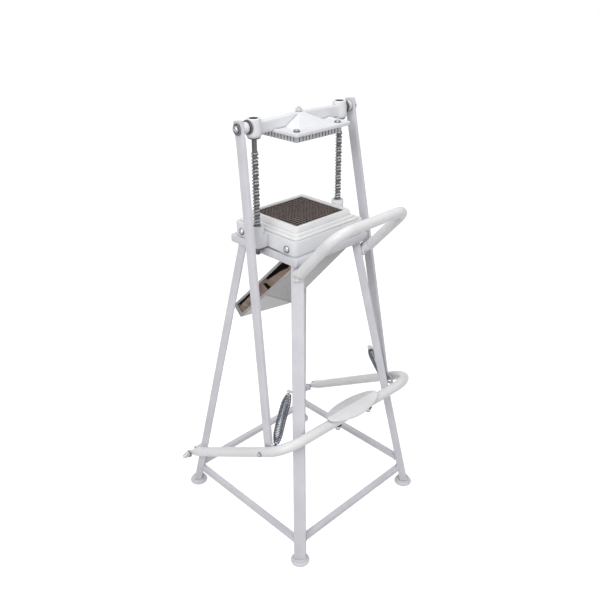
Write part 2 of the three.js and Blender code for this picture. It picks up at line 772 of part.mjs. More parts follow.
// Link bolts, on which the pull bars hang
function addLinkBolts() {
  const start = linkHubX - linkBoltDepth + fit;
  const washer = pullTopOuter + fit - start;
  const dome = washer + linkWasherThickness;
  const profile = [
    [0, 0],
    [0, linkBoltRadius],
    [washer, linkBoltRadius],
    [washer, linkWasherRadius],
    [dome, linkWasherRadius],
    [dome, linkDomeRadius],
    [dome + linkDomeLength * domeStraightShare, linkDomeRadius],
    [dome + linkDomeLength * domeShoulderShare, linkDomeRadius * domeCrownShare],
    [dome + linkDomeLength, 0],
  ];
  for (const [side, sx] of sides) {
    const bolt = turned(profile, at(sx * start, 0, linkZ), outward(sx), upward, 12);
    add(`link_bolt_${side}`, bolt, 'chrome');
  }
}

// The pedal's own plane: u across, a along the arms from the pins
function onPedal(u, a) {
  return at(u, pedalPivotY - a * Math.cos(restAngle), pedalPivotZ + a * Math.sin(restAngle));
}

const barLeft = onPedal(-pedalHalfX, pedalLinkReach + pedalLeftLead);
const barRight = onPedal(pedalHalfX, pedalLinkReach + pedalRightLead);
const barX = barRight.clone().sub(barLeft).normalize();

// The foot plate's own axes: along the front bar, rearward and up
const treadCentre = barLeft.clone().lerp(barRight, 0.5).addScaledVector(barX, -treadShift);
const treadUp = upward.clone().addScaledVector(barX, -barX.z).normalize();
const treadAxes = new THREE.Matrix4();
treadAxes.makeBasis(barX, treadUp.clone().cross(barX), treadUp).setPosition(treadCentre);
const onTread = (u, v, w) => at(u, v, w).applyMatrix4(treadAxes);
const treadBase = pedalTubeRadius + fit;

function acrossArm(body, a, sx, radius, facets) {
  const inner = onPedal(sx * (pedalInner - overrun), a);
  const outer = onPedal(sx * (pedalOuter + overrun), a);
  return body.subtract(rod(inner, outer, radius, facets));
}

function addPedal() {
  const corners = [onPedal(-pedalHalfX, -pedalTail), barLeft, barRight, onPedal(pedalHalfX, -pedalTail)];
  let pedal = tube(new BentPath(corners, [pedalLeftBend, pedalRightBend], 6), pedalTubeRadius, 12);
  for (const [, sx] of sides) {
    const u = sx * treadBoltSpan / 2;
    const low = onTread(u, 0, -pedalTubeRadius - overrun);
    const high = onTread(u, 0, pedalTubeRadius + overrun);
    pedal = acrossArm(pedal, 0, sx, pedalPinRadius + fit, 16);
    pedal = acrossArm(pedal, pedalLinkReach, sx, pedalBoltRadius + fit, 8);
    pedal = pedal.subtract(rod(low, high, treadBoltRadius + fit, 8));
  }
  add('pedal', pedal, 'bright');
}

// Pins that the pedal turns on, in lugs on the back legs
function addPedalPins() {
  const start = legHalfX(pedalPivotZ) + pedalPinStart;
  const lugStart = legHalfX(pedalPivotZ) + legThickness / 2;
  const washer = pedalOuter + fit - start;
  const collar = washer + pinWasherThickness;
  const tip = pedalOuter + pedalPinReach - start;
  const profile = [
    [0, 0],
    [0, pedalPinRadius],
    [washer, pedalPinRadius],
    [washer, pinWasherRadius],
    [collar, pinWasherRadius],
    [collar, pedalPinRadius],
    [tip - pedalPinChamfer, pedalPinRadius],
    [tip, pedalPinRadius - pedalPinChamfer],
    [tip, 0],
  ];
  for (const [side, sx] of sides) {
    const pivot = (x) => at(sx * x, pedalPivotY, pedalPivotZ);
    const hole = rod(pivot(start - fit), pivot(pedalInner + overrun), pedalPinRadius + fit, 10);
    const lug = rod(pivot(lugStart), pivot(pedalInner - fit), pedalLugRadius, 14);
    add(`pedal_lug_${side}`, lug.subtract(grownLegs[`back_${side}`]).subtract(hole), 'paint');
    add(`pedal_pin_${side}`, turned(profile, pivot(start), outward(sx), upward, 10), 'chrome');
  }
}

// A pedal spring's two ends: the anchor behind the front leg, and the eye beside the link bolt
function springEnds(sx) {
  const x = legHalfX(anchorZ) + anchorAside;
  const y = legHalfY(anchorZ) - anchorBehind;
  const top = at(sx * x, -y, anchorZ);
  const strapEnd = onPedal(sx * eyeStrapX, pedalLinkReach + eyeAhead);
  const run = strapEnd.clone().sub(top).normalize();
  return { top, run, eye: strapEnd.addScaledVector(run, -eyeStrapHalf) };
}

// Bolts for the pull bars' lower ends, each with a strap and eye for the pedal spring
function addPedalBolts() {
  const nut = pedalNutHeight + eyeStrapThickness / 2;
  const washer = nut + pedalWasherThickness;
  const head = pedalOuter + fit - eyeStrapX;
  const profile = [
    [0, 0],
    [0, pedalNutRadius],
    [nut, pedalNutRadius],
    [nut, pedalWasherRadius],
    [washer, pedalWasherRadius],
    [washer, pedalBoltRadius],
    [head, pedalBoltRadius],
    [head, pedalBoltHead],
    [head + pedalBoltHeadHeight * domeStraightShare, pedalBoltHead],
    [head + pedalBoltHeadHeight * domeShoulderShare, pedalBoltHead * domeCrownShare],
    [head + pedalBoltHeadHeight, 0],
  ];
  const strapLength = eyeAhead + eyeStrapHalf;
  const strapBox = new THREE.BoxGeometry(eyeStrapThickness, 2 * eyeStrapHalf, strapLength);
  strapBox.translate(0, 0, strapLength / 2 - eyeStrapHalf);
  for (const [side, sx] of sides) {
    const start = onPedal(sx * eyeStrapX, pedalLinkReach);
    const along = onPedal(sx * eyeStrapX, pedalLinkReach + eyeAhead).sub(start);
    const { eye, run } = springEnds(sx);
    const discEnd = eye.clone().addScaledVector(run, springDiscThickness);
    const strap = solid(strapBox, axesAlong(start, along, upward));
    const bolt = turned(profile, start, outward(sx), upward, 8);
    const eyeDisc = rod(eye, discEnd, springDiscRadius, 10);
    add(`pedal_bolt_${side}`, bolt.add(strap).add(eyeDisc), 'chrome');
  }
}

// Foot plate: a leaf-shaped tread with a crown, on a pad over the front bar
function treadShape() {
  const half = treadLength / 2;
  const tip = half * treadTipShare;
  const front = -treadFront * treadEndShare;
  const rear = treadRear * treadEndShare;
  const shape = new THREE.Shape();
  shape.moveTo(-half, front);
  shape.quadraticCurveTo(0, -treadFront * treadBulgeShare, half, front);
  shape.quadraticCurveTo(tip, 0, half, rear);
  shape.quadraticCurveTo(0, treadRear * treadBulgeShare, -half, rear);
  shape.quadraticCurveTo(-tip, 0, -half, front);
  return shape;
}

function addFootPlate() {
  const crownRadius = (treadRear ** 2 + treadCrown ** 2) / (2 * treadCrown);
  const crownZ = treadThickness + treadCrown - crownRadius;
  const barrel = (radius) => rod(at(-treadLength, 0, crownZ), at(treadLength, 0, crownZ), radius, 96);
  const leaf = extruded(treadShape(), treadCrown + treadThickness, new THREE.Matrix4(), 10);
  let tread = leaf.intersect(barrel(crownRadius)).subtract(barrel(crownRadius - treadThickness));
  const padX = treadBoltSpan / 2 + treadPadHalf;
  const padTop = treadCrown + treadThickness / 2;
  tread = tread.add(block(-padX, padX, -treadPadHalf, treadPadHalf, 0, padTop));
  for (const [, sx] of sides) {
    const x = sx * treadBoltSpan / 2;
    const hole = upright(x, 0, -overrun, treadBoltDepth + fit, treadBoltRadius + fit, 8);
    tread = tread.subtract(hole);
  }
  const place = treadAxes.clone().multiply(move(0, 0, treadBase));
  add('foot_plate', solid(geometryOf(tread), place), 'bright');
  const top = treadBase + treadBoltDepth;
  const nut = -pedalTubeRadius - fit;
  const profile = [
    [nut - treadNutLength, 0],
    [nut - treadNutLength * domeShoulderShare, treadNutRadius * domeCrownShare],
    [nut - treadNutLength * domeStraightShare, treadNutRadius],
    [nut, treadNutRadius],
    [nut, treadBoltRadius],
    [top, treadBoltRadius],
    [top, 0],
  ];
  for (const [side, sx] of sides) {
    const bolt = turned(profile, onTread(sx * treadBoltSpan / 2, 0, 0), treadUp, barX, 8);
    add(`foot_plate_bolt_${side}`, bolt, 'chrome');
  }
}

// Pull bars: upright at the top, splayed below, with a slotted plate over the pedal's bolt
function pullBarProfile(barLength) {
  const half = pullBarThickness / 2;
  const top = pullBarTopX;
  const low = pullPlateOuter - half;
  const bend = barLength - pullPlateAbove;
  const end = bend + pullBarLap;
  return outline(new THREE.Shape(), [
    [top - half, -pullBarHead], [top + half, -pullBarHead], [top + half, pullBarStraight],
    [low + half, bend], [low + half, end], [low - half, end], [low - half, bend],
    [top - half, pullBarStraight],
  ]);
}

function pullPlateShape() {
  const corner = pullPlateCorner;
  return outline(new THREE.Shape(), [
    [-pullPlateBehind, -pullPlateAbove],
    [pullBarWidth / 2, -pullPlateAbove],
    [pullPlateAhead, -pullPlateBelow],
    [pullPlateAhead, pullPlateBelow - corner],
    [pullPlateAhead - corner, pullPlateBelow],
    [corner - pullPlateBehind, pullPlateBelow],
    [-pullPlateBehind, pullPlateBelow - corner],
  ]);
}

function slotShape() {
  const run = pullSlotHalfLength - pullSlotHalfHeight;
  const slot = new THREE.Shape();
  slot.absarc(run, 0, pullSlotHalfHeight, -Math.PI / 2, Math.PI / 2);
  slot.absarc(-run, 0, pullSlotHalfHeight, Math.PI / 2, 1.5 * Math.PI);
  return slot;
}

function addPullBars() {
  const upper = at(0, 0, linkZ);
  const run = onPedal(0, pedalLinkReach).sub(upper);
  const down = run.clone().normalize();
  const forward = at(0, down.z, -down.y);
  const slotDepth = pullPlateThickness + 2 * overrun;
  for (const [side, sx] of sides) {
    const barAxes = new THREE.Matrix4().makeBasis(outward(sx), down, forward);
    const plateAxes = new THREE.Matrix4().makeBasis(forward, down, outward(sx));
    barAxes.setPosition(upper.clone().addScaledVector(forward, -pullBarWidth / 2));
    const bolt = upper.clone().add(run);
    const plateSeat = bolt.clone().addScaledVector(outward(sx), pullPlateInner);
    const slotSeat = bolt.clone().addScaledVector(outward(sx), pullPlateInner - overrun);
    slotSeat.addScaledVector(forward, pullSlotShift);
    let bar = extruded(pullBarProfile(run.length()), pullBarWidth, barAxes);
    const plate = extruded(pullPlateShape(), pullPlateThickness, plateAxes.setPosition(plateSeat));
    bar = bar.add(plate);
    bar = bar.subtract(extruded(slotShape(), slotDepth, plateAxes.setPosition(slotSeat), 6));
    const inner = at(sx * (pullBarTopX - pullBarThickness), 0, linkZ);
    const outer = at(sx * (pullBarTopX + pullBarThickness), 0, linkZ);
    bar = bar.subtract(rod(inner, outer, linkBoltRadius + fit, 12));
    add(`pull_bar_${side}`, bar, 'paint');
  }
}

// Spring anchors: an eye disc on a stud behind each front leg
function addSpringAnchors() {
  for (const [side, sx] of sides) {
    const { top, run } = springEnds(sx);
    const root = legAxis(sx, -1, anchorZ + springDiscRadius);
    const discTop = top.clone().addScaledVector(run, -springDiscThickness);
    const discMiddle = top.clone().addScaledVector(run, -springDiscThickness / 2);
    const stud = rod(root, discMiddle, anchorStudRadius, 8);
    const anchor = stud.add(rod(discTop, top, springDiscRadius, 10));
    add(`spring_anchor_${side}`, anchor.subtract(grownLegs[`front_${side}`]), 'paint');
  }
}

// Springs, each one unbroken tube: 8 steps to a curl, 5 facets round the wire
const curlSteps = 8;
const wireFacets = 5;

function curl(radius, turn, z) {
  return at(radius * Math.cos(turn), radius * Math.sin(turn), z);
}

// Open compression spring with a short tail at each end
function rodSpringLine() {
  const wire = rodSpringWire;
  const total = rodSpringCurls * curlSteps;
  const points = [at(rodSpringRadius, -wire, wire / 2)];
  for (let i = 0; i <= total; i++) {
    const z = wire / 2 + (rodSpringLength - wire) * i / total;
    points.push(curl(rodSpringRadius, 2 * Math.PI * i / curlSteps, z));
  }
  points.push(at(rodSpringRadius, wire, rodSpringLength - wire / 2));
  return points;
}

// Extension spring that narrows at both ends to a straight hook
function pedalSpringLine(length) {
  const wire = pedalSpringWire;
  const total = pedalSpringCurls * curlSteps;
  const endRadius = pedalSpringRadius * pedalSpringEndShare;
  const lead = wire + endRadius;
  const points = [at(0, 0, 0), at(0, 0, wire)];
  for (let i = 0; i <= total; i++) {
    const curlsFromEnd = Math.min(i, total - i) / curlSteps;
    const grown = Math.min(curlsFromEnd / pedalSpringTaper, 1);
    const radius = endRadius + (pedalSpringRadius - endRadius) * grown;
    const z = lead + (length - 2 * lead) * i / total;
    points.push(curl(radius, 2 * Math.PI * i / curlSteps, z));
  }
  points.push(at(0, 0, length - wire), at(0, 0, length));
  return points;
}

// Least distance between stretches of the wire that are more than half a curl apart
function leastGap(points, wire) {
  let least = Infinity;
  for (let i = 0; i < points.length; i++) {
    for (let j = i + curlSteps / 2 + 1; j < points.length; j++) {
      least = Math.min(least, points[i].distanceTo(points[j]));
    }
  }
  return least - wire;
}

function wireTube(points, wire, place) {
  const positions = [];
  const index = [];
  const last = points.length - 1;
  const lead = points[1].clone().sub(points[0]);
  let side = Math.abs(lead.z) > Math.abs(lead.y) ? outward(1) : upward.clone();
  points.forEach((point, i) => {
    const ahead = points[Math.min(i + 1, last)].clone().sub(points[Math.max(i - 1, 0)]).normalize();
    side = side.addScaledVector(ahead, -side.dot(ahead)).normalize();
    const across = ahead.clone().cross(side);
    for (let k = 0; k < wireFacets; k++) {
      const turn = 2 * Math.PI * k / wireFacets;
      const rim = point.clone().addScaledVector(side, Math.cos(turn) * wire / 2);
      rim.addScaledVector(across, Math.sin(turn) * wire / 2).applyMatrix4(place);
      positions.push(rim.x, rim.y, rim.z);
    }
  });
  for (let i = 0; i < last; i++) {
    for (let k = 0; k < wireFacets; k++) {
      const a = i * wireFacets + k;
      const b = i * wireFacets + (k + 1) % wireFacets;
      index.push(a, b, b + wireFacets, a, b + wireFacets, a + wireFacets);
    }
  }
  const end = last * wireFacets;
  for (let k = 1; k < wireFacets - 1; k++) {
    index.push(0, k + 1, k);
    index.push(end, end + k, end + k + 1);
  }
  const geometry = new THREE.BufferGeometry();
  geometry.setAttribute('position', new THREE.Float32BufferAttribute(positions, 3));
  geometry.setIndex(index);
  geometry.computeVertexNormals();
  return geometry;
}

function addSpring(name, points, wire, place) {
  console.log(`${name} least gap ${leastGap(points, wire).toFixed(2)} mm`);
  add(name, wireTube(points, wire, place), 'spring');
}

function addSprings() {
  for (const [side, sx] of sides) {
    const place = move(sx * rodHalfSpan, 0, springSeat + fit);
    addSpring(`rod_spring_${side}`, rodSpringLine(), rodSpringWire, place);
  }
  for (const [side, sx] of sides) {
    const { top, eye, run } = springEnds(sx);
    const start = top.clone().addScaledVector(run, fit);
    const points = pedalSpringLine(start.distanceTo(eye) - fit);
    addSpring(`pedal_spring_${side}`, points, pedalSpringWire, axesAlong(start, run, backward));
  }
}

// Grab handle: a bent tube that ends in a flat tab on each front leg
function onLegFace(sx, z, out) {
  const face = at(sx, -1, 0).normalize();
  return legAxis(sx, -1, z).addScaledVector(face, legThickness / 2 + out);
}

function handleEnd(sx) {
  const foot = onLegFace(sx, handleFootZ, handleRadius);
  const corner = at(sx * handleHalfX, -handleFrontY, handleTopZ);
  const run = corner.clone().sub(foot).normalize();
  return { corner, run, tubeEnd: foot.addScaledVector(run, handleFlattening) };
}

function handleTab(sx) {
  const low = onLegFace(sx, handleFootZ - handleTabBelow, 0);
  const up = onLegFace(sx, handleFootZ, 0).sub(low);
  const axes = axesAlong(low, up, at(sx, -1, 0));
  const slice = (z0, z1) => {
    const box = new THREE.BoxGeometry(handleTabWidth, handleTabThickness, z1 - z0);
    return solid(box.translate(0, handleTabThickness / 2 + fit, (z0 + z1) / 2), axes);
  };
  const seat = at(0, handleTabThickness + 2 * fit, handleBoltRise).applyMatrix4(axes);
  const out = at(0, 1, 0).transformDirection(axes);
  return { slice, seat, out };
}

function addGrabHandle() {
  const [left, right] = [handleEnd(-1), handleEnd(1)];
  const corners = [left.tubeEnd, left.corner, right.corner, right.tubeEnd];
  let handle = tube(new BentPath(corners, [handleBendRadius, handleBendRadius], 6), handleRadius, 10);
  const profile = domeBolt(handleBoltHead, handleBoltHeadHeight, handleBoltRadius, handleBoltDepth);
  for (const [side, sx] of sides) {
    const { tubeEnd, run } = handleEnd(sx);
    const { slice, seat, out } = handleTab(sx);
    const disc = rod(tubeEnd, tubeEnd.clone().addScaledVector(run, handleEndDisc), handleRadius, 10);
    const tabTop = handleTabBelow + handleTabAbove;
    const flattened = Manifold.hull([slice(handleTabBelow, tabTop), disc]);
    handle = handle.add(slice(0, tabTop)).add(flattened).subtract(grownLegs[`front_${side}`]);
    const inner = seat.clone().addScaledVector(out, -handleBoltDepth - fit);
    const outer = seat.clone().addScaledVector(out, overrun);
    handle = handle.subtract(rod(inner, outer, handleBoltRadius + fit, 8));
    add(`handle_bolt_${side}`, turned(profile, seat, out, upward, 8), 'chrome');
  }
  add('grab_handle', handle, 'bright');
}

// Chute: sloping floor with a slanting fold, side walls with rims, and bare side panels
const slope = chuteSlope * degree;
const chuteTop = frameTop - frameWall - fit;
const floorZ = (y) => chuteTop - (y + chuteFloorStart) * Math.tan(slope);
const sheetAxes = (x) => new THREE.Matrix4().makeBasis(backward, upward, outward(1)).setPosition(x, 0, 0);

function chuteSideOutline(shape, inset) {
  const shift = inset / Math.cos(slope);
  const wall = chuteDepth - 2 * inset;
  const frontY = chuteTopInsetShare * inset - chuteFloorStart;
  const lipY = chuteFloorEnd - chuteLipInsetShare * inset;
  const lipZ = floorZ(lipY) + shift;
  const topY = frontY + wall / Math.cos(slope) / Math.tan(slope);
  return outline(shape, [
    [frontY, chuteTop - inset],
    [lipY, lipZ],
    [lipY + wall * Math.sin(slope), lipZ + wall * Math.cos(slope)],
    [topY, chuteTop - inset],
  ]);
}

function chuteFloor() {
  const across = chuteHalfX - chuteSheet / 2;
  const foldY = (chuteFloorStart + chuteFloorEnd) * chuteFoldShare - chuteFloorStart;
  const drop = chuteTwist * Math.SQRT1_2;
  const lipZ = floorZ(chuteFloorEnd);
  const topLeft = at(-across, -chuteFloorStart, chuteTop);
  const topRight = at(across, -chuteFloorStart, chuteTop);
  const fold = at(-across, foldY, floorZ(foldY));
  const lipLeft = at(-across, chuteFloorEnd, lipZ);
  const lipRight = at(across, chuteFloorEnd - drop, lipZ - drop);
  const lift = at(0, Math.sin(slope), Math.cos(slope)).multiplyScalar(chuteSheet);
  const panel = (lows) => {
    const highs = lows.map((point) => point.clone().add(lift));
    return Manifold.hull([...lows, ...highs].map((point) => point.toArray()));
  };
  return panel([topLeft, topRight, lipRight, fold]).add(panel([fold, lipRight, lipLeft]));
}

function addChute() {
  const clearOfLegs = (body) => body.subtract(grownLegs.front_left).subtract(grownLegs.front_right);
  let chute = chuteFloor();
  for (const [side, sx] of sides) {
    const wall = chuteSideOutline(new THREE.Shape(), 0);
    wall.holes.push(chuteSideOutline(new THREE.Path(), chuteRimWidth));
    const wallX = sx > 0 ? chuteHalfX - chuteSheet : -chuteHalfX - chuteRimProud;
    chute = chute.add(extruded(wall, chuteSheet + chuteRimProud, sheetAxes(wallX)));
    const panel = chuteSideOutline(new THREE.Shape(), chuteRimWidth + fit);
    const panelX = sx > 0 ? chuteHalfX - chuteSheet : chuteSheet - chuteHalfX - chutePanelThickness;
    const sheet = extruded(panel, chutePanelThickness, sheetAxes(panelX));
    add(`chute_panel_${side}`, clearOfLegs(sheet), 'bare');
  }
  const front = frameWall + fit - frameHalfY;
  const underFrame = block(-reach, reach, front, reach, 0, chuteTop);
  add('chute', clearOfLegs(chute.intersect(underFrame)), 'paint');
}

addStand();
addTableFrame();
addCasting();
addBladeHolder();
addKnifeGrid();
addCrosshead();
addGuides();
addPusher();
addLinkBolts();
addPedal();
addPedalPins();
addPedalBolts();
addFootPlate();
addPullBars();
addSpringAnchors();
addSprings();
addGrabHandle();
addChute();

// The origin lies at the middle of the object's box, on the floor
const bounds = new THREE.Box3().setFromObject(cutter, true);
const middle = bounds.getCenter(at(0, 0, 0));
cutter.position.set(-middle.x, -middle.y, -bounds.min.z);
console.log(`origin moved by ${cutter.position.toArray().map((v) => v.toFixed(3)).join(', ')} mm`);

export default cutter;
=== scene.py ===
import json
import math

import bmesh
import bpy
from mathutils import Matrix, Vector


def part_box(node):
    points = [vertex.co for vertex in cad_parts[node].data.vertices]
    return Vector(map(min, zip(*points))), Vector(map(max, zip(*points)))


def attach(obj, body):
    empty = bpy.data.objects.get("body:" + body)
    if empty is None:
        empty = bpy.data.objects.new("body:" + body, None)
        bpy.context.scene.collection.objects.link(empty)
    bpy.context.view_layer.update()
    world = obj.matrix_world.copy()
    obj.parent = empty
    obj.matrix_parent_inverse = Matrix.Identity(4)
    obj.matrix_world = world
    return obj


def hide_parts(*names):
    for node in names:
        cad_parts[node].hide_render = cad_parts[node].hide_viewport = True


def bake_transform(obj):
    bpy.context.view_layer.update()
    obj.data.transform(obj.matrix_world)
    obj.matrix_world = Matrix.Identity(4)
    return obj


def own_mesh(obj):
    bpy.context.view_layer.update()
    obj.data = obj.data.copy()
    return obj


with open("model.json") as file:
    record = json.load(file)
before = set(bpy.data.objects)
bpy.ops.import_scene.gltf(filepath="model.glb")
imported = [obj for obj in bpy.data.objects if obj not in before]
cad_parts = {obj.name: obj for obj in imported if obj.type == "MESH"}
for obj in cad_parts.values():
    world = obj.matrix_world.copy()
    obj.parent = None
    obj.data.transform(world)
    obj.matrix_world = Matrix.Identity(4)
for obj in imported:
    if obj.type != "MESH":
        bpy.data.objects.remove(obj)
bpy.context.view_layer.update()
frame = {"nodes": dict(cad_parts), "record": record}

nodes = frame["nodes"]

# Units and the part's own axes. The guide rods stand on the casting's middle.
MM = 0.001
casting_low, casting_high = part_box("casting")
MIDDLE_Y = (casting_low.y + casting_high.y) / 2
SIDES = (("left", -1), ("right", 1))
ENDS = ("front", "back")
RIGHT, BACK, UP = Vector((1, 0, 0)), Vector((0, 1, 0)), Vector((0, 0, 1))


def at(point):
    """A point in millimetres from the machine's middle, on the floor, as a place in the frame."""
    return Vector((point[0] * MM, point[1] * MM + MIDDLE_Y, point[2] * MM))


def corners_of(node):
    """A node's lowest and highest corner, in millimetres from the machine's middle."""
    return [Vector((corner.x, corner.y - MIDDLE_Y, corner.z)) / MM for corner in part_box(node)]


def middle_of(node):
    """The middle of a node's box, in the same measure."""
    low, high = corners_of(node)
    return (low + high) / 2


def top_of(node):
    """The height of a node's top."""
    return corners_of(node)[1].z


def ends_across(node):
    """The inner and the outer end of a node that lies across the machine."""
    low, high = corners_of(node)
    return sorted((low.x, high.x), key=abs)


def at_height(point, z):
    """The place straight above or below a point."""
    return Vector((point.x, point.y, z))


def at_side(point, x):
    """The place straight to the left or right of a point."""
    return Vector((x, point.y, point.z))


def added(name, data):
    """A new object in the scene."""
    obj = bpy.data.objects.new(name, data)
    bpy.context.scene.collection.objects.link(obj)
    return obj


# Camera: azimuth, elevation, roll and focal length solved from the photograph
AZIMUTH, ELEVATION, ROLL = -44.2866, 26.8985, -0.2785
FOCAL_PIXELS = 694.22
FRAME_PIXELS = 600
SENSOR = 36
PLACE = Vector((-1.09157, -1.11517, 1.38049))


def add_camera():
    """The photograph's own view."""
    camera = added("camera", bpy.data.cameras.new("camera"))
    camera.matrix_world = Matrix.Translation(PLACE)
    for degrees, axis in ((AZIMUTH, "Z"), (90 - ELEVATION, "X"), (ROLL, "Z")):
        camera.matrix_world @= Matrix.Rotation(math.radians(degrees), 4, axis)
    camera.data.sensor_width = SENSOR
    camera.data.sensor_fit = "HORIZONTAL"
    camera.data.lens = FOCAL_PIXELS * SENSOR / FRAME_PIXELS
    camera.data.clip_start, camera.data.clip_end = 0.05, 50
    bpy.context.scene.camera = camera


# Materials
class Nodes:
    """The node tree of a material or the world, with short calls to add and link nodes."""

    def __init__(self, owner, shader="Principled BSDF"):
        self.owner = owner
        owner.use_nodes = True
        self.tree = owner.node_tree
        self.shader = self.tree.nodes[shader]

    def node(self, kind, **values):
        made = self.tree.nodes.new("ShaderNode" + kind)
        for key, value in values.items():
            if hasattr(made, key):
                setattr(made, key, value)
            else:
                made.inputs[key.replace("_", " ")].default_value = value
        return made

    def feed(self, socket, value):
        """Gives a socket an output, a number or a colour. Three numbers are an sRGB colour in 0 to 255."""
        if isinstance(value, bpy.types.NodeSocket):
            self.tree.links.new(value, socket)
        elif isinstance(value, tuple) and len(value) == 3:
            socket.default_value = (*linear(value), 1)
        else:
            socket.default_value = value

    def set(self, **values):
        """Feeds the shader's own sockets."""
        for key, value in values.items():
            self.feed(self.shader.inputs[key.replace("_", " ")], value)

    def noise(self, scale, detail=3, rough=0.5, stretch=None):
        made = self.node("TexNoise", Scale=scale, Detail=detail, Roughness=rough)
        source = self.node("TexCoord").outputs["Object"]
        if stretch:
            mapping = self.node("Mapping", Scale=stretch)
            self.feed(mapping.inputs["Vector"], source)
            source = mapping.outputs["Vector"]
        self.feed(made.inputs["Vector"], source)
        return made.outputs["Fac"]

    def remap(self, value, low, high, start=0.3, end=0.7):
        made = self.node("MapRange", From_Min=start, From_Max=end, To_Min=low, To_Max=high)
        self.feed(made.inputs["Value"], value)
        return made.outputs["Result"]

    def ramp(self, value, stops):
        made = self.node("ValToRGB")
        self.feed(made.inputs["Fac"], value)
        elements = made.color_ramp.elements
        while len(elements) < len(stops):
            elements.new(0.5)
        for element, (place, colour) in zip(elements, stops):
            element.position = place
            element.color = (*linear(colour), 1)
        return made.outputs["Color"]

    def mix(self, share, one, two):
        made = self.node("Mix", data_type="RGBA")
        for index, value in ((0, share), (6, one), (7, two)):
            self.feed(made.inputs[index], value)
        return made.outputs[2]

    def up(self):
        """How far the surface faces up, from -1 to 1."""
        normal = self.node("SeparateXYZ")
        self.feed(normal.inputs["Vector"], self.node("NewGeometry").outputs["Normal"])
        return normal.outputs["Z"]

    def corners(self, reach, depth=1.0):
        """How open the surface is: 1 in the open, towards 0 in a corner."""
        made = self.node("AmbientOcclusion", samples=6, Distance=reach)
        return self.remap(made.outputs["AO"], 1 - depth, 1, 0.35, 0.9)

    def bump(self, height, strength, distance):
        made = self.node("Bump", Strength=strength, Distance=distance)
        self.feed(made.inputs["Height"], height)
        self.set(Normal=made.outputs["Normal"])

    def seen_by(self, kind):
        """1 for the camera's rays and for one other kind, 0 for the rest."""
        path = self.node("LightPath").outputs
        either = self.node("Math", operation="MAXIMUM")
        self.feed(either.inputs[0], path["Is Camera Ray"])
        self.feed(either.inputs[1], path[f"Is {kind} Ray"])
        return either.outputs[0]


def linear(colour):
    """An sRGB colour in 0 to 255 as linear light."""
    return tuple(((c / 255 + 0.055) / 1.055) ** 2.4 if c > 10 else c / 255 / 12.92 for c in colour)


def material(name):
    return Nodes(bpy.data.materials.new(name))


PEEL_SCALE, PEEL_DEPTH = 650, 0.0006
CORNER_SHADE = 0.66


def powder_coat(name, light, dark, peel=0.1, rough=(0.36, 0.5), crease=(0.012, 0.55)):
    """Sprayed and baked paint: fine orange peel, slow changes of tone, and painted shade in the corners."""
    m = material(name)
    tone = m.ramp(m.noise(14, 4, 0.55), [(0.35, dark), (0.65, light)])
    grime = m.remap(m.noise(60, 5, 0.6), 0.55, 1.0)
    # Painted shade: corners and creases turn towards a darker grey.
    corner_shaded = m.mix(m.corners(*crease), tuple(int(c * CORNER_SHADE) for c in dark), tone)
    m.set(Base_Color=m.mix(grime, dark, corner_shaded), Roughness=m.remap(m.noise(120, 3), *rough), IOR=1.5)
    m.bump(m.noise(PEEL_SCALE, 2, 0.4), peel, PEEL_DEPTH)
    return m.owner


def plain_steel(name, light, dark, rough=(0.22, 0.4), grain=(1, 1, 60), metallic=1.0, scale=40):
    """Turned or drawn steel, with fine lines along one axis."""
    m = material(name)
    lines = m.noise(scale, 4, 0.6, grain)
    tone = m.ramp(lines, [(0.3, dark), (0.7, light)])
    m.set(Base_Color=tone, Metallic=metallic, Roughness=m.remap(m.noise(90, 4), *rough))
    m.bump(lines, 0.05, 0.0003)
    return m.owner


def plated(name, light, dark, rim, metallic=0.85):
    """Plated steel with painted shade in its corners and underneath, and a darker edge in its gloss."""
    m = material(name)
    tone = m.ramp(m.noise(80, 4, 0.6), [(0.3, dark), (0.7, light)])
    # Painted shade: the rim colour in the corners and on the faces that turn down.
    tone = m.mix(m.corners(0.004, 0.9), rim, tone)
    tone = m.mix(m.remap(m.up(), 1.0, 0.0, -0.7, 0.35), tone, rim)
    rough = m.remap(m.noise(90, 4), 0.14, 0.28)
    m.set(Base_Color=tone, Metallic=metallic, Roughness=rough, Specular_Tint=rim)
    return m.owner


def painted_shade():
    """Painted shade: the unlit inside seen through an opening, and shadow laid on as a dark sheet."""
    m = material("painted_shade")
    tone = m.ramp(m.noise(40, 3), [(0.3, (15, 12, 11)), (0.7, (24, 20, 18))])
    m.set(Base_Color=tone, Roughness=0.95, Specular_IOR_Level=0.05)
    return m.owner


def knife_steel():
    """Bare cutting steel with a brown tarnish and brighter cutting edges."""
    m = material("knife_steel")
    stain = m.noise(55, 5, 0.65)
    tone = m.ramp(stain, [(0.25, (66, 53, 48)), (0.5, (88, 72, 66)), (0.75, (110, 93, 86))])
    edge = m.remap(m.up(), 0.0, 1.0, 0.5, 0.95)
    ground = m.ramp(m.noise(70, 4, 0.6), [(0.3, (168, 156, 150)), (0.7, (204, 194, 188))])
    rough = m.remap(m.noise(160, 3), 0.35, 0.6)
    m.set(Base_Color=m.mix(edge, tone, ground), Metallic=0.35, Roughness=rough)
    m.bump(m.noise(500, 3), 0.08, 0.0004)
    return m.owner


def finger_steel():
    """Light cast metal, with painted shade in the gaps between the fingers."""
    m = material("finger_metal")
    tone = m.ramp(m.noise(60, 4, 0.6), [(0.3, (188, 188, 193)), (0.7, (212, 212, 216))])
    # Painted shade: near black where the fingers close in.
    m.set(Base_Color=m.mix(m.corners(0.005, 0.92), (38, 36, 38), tone), Metallic=0.15)
    m.set(Roughness=m.remap(m.noise(90, 4), 0.38, 0.55))
    return m.owner


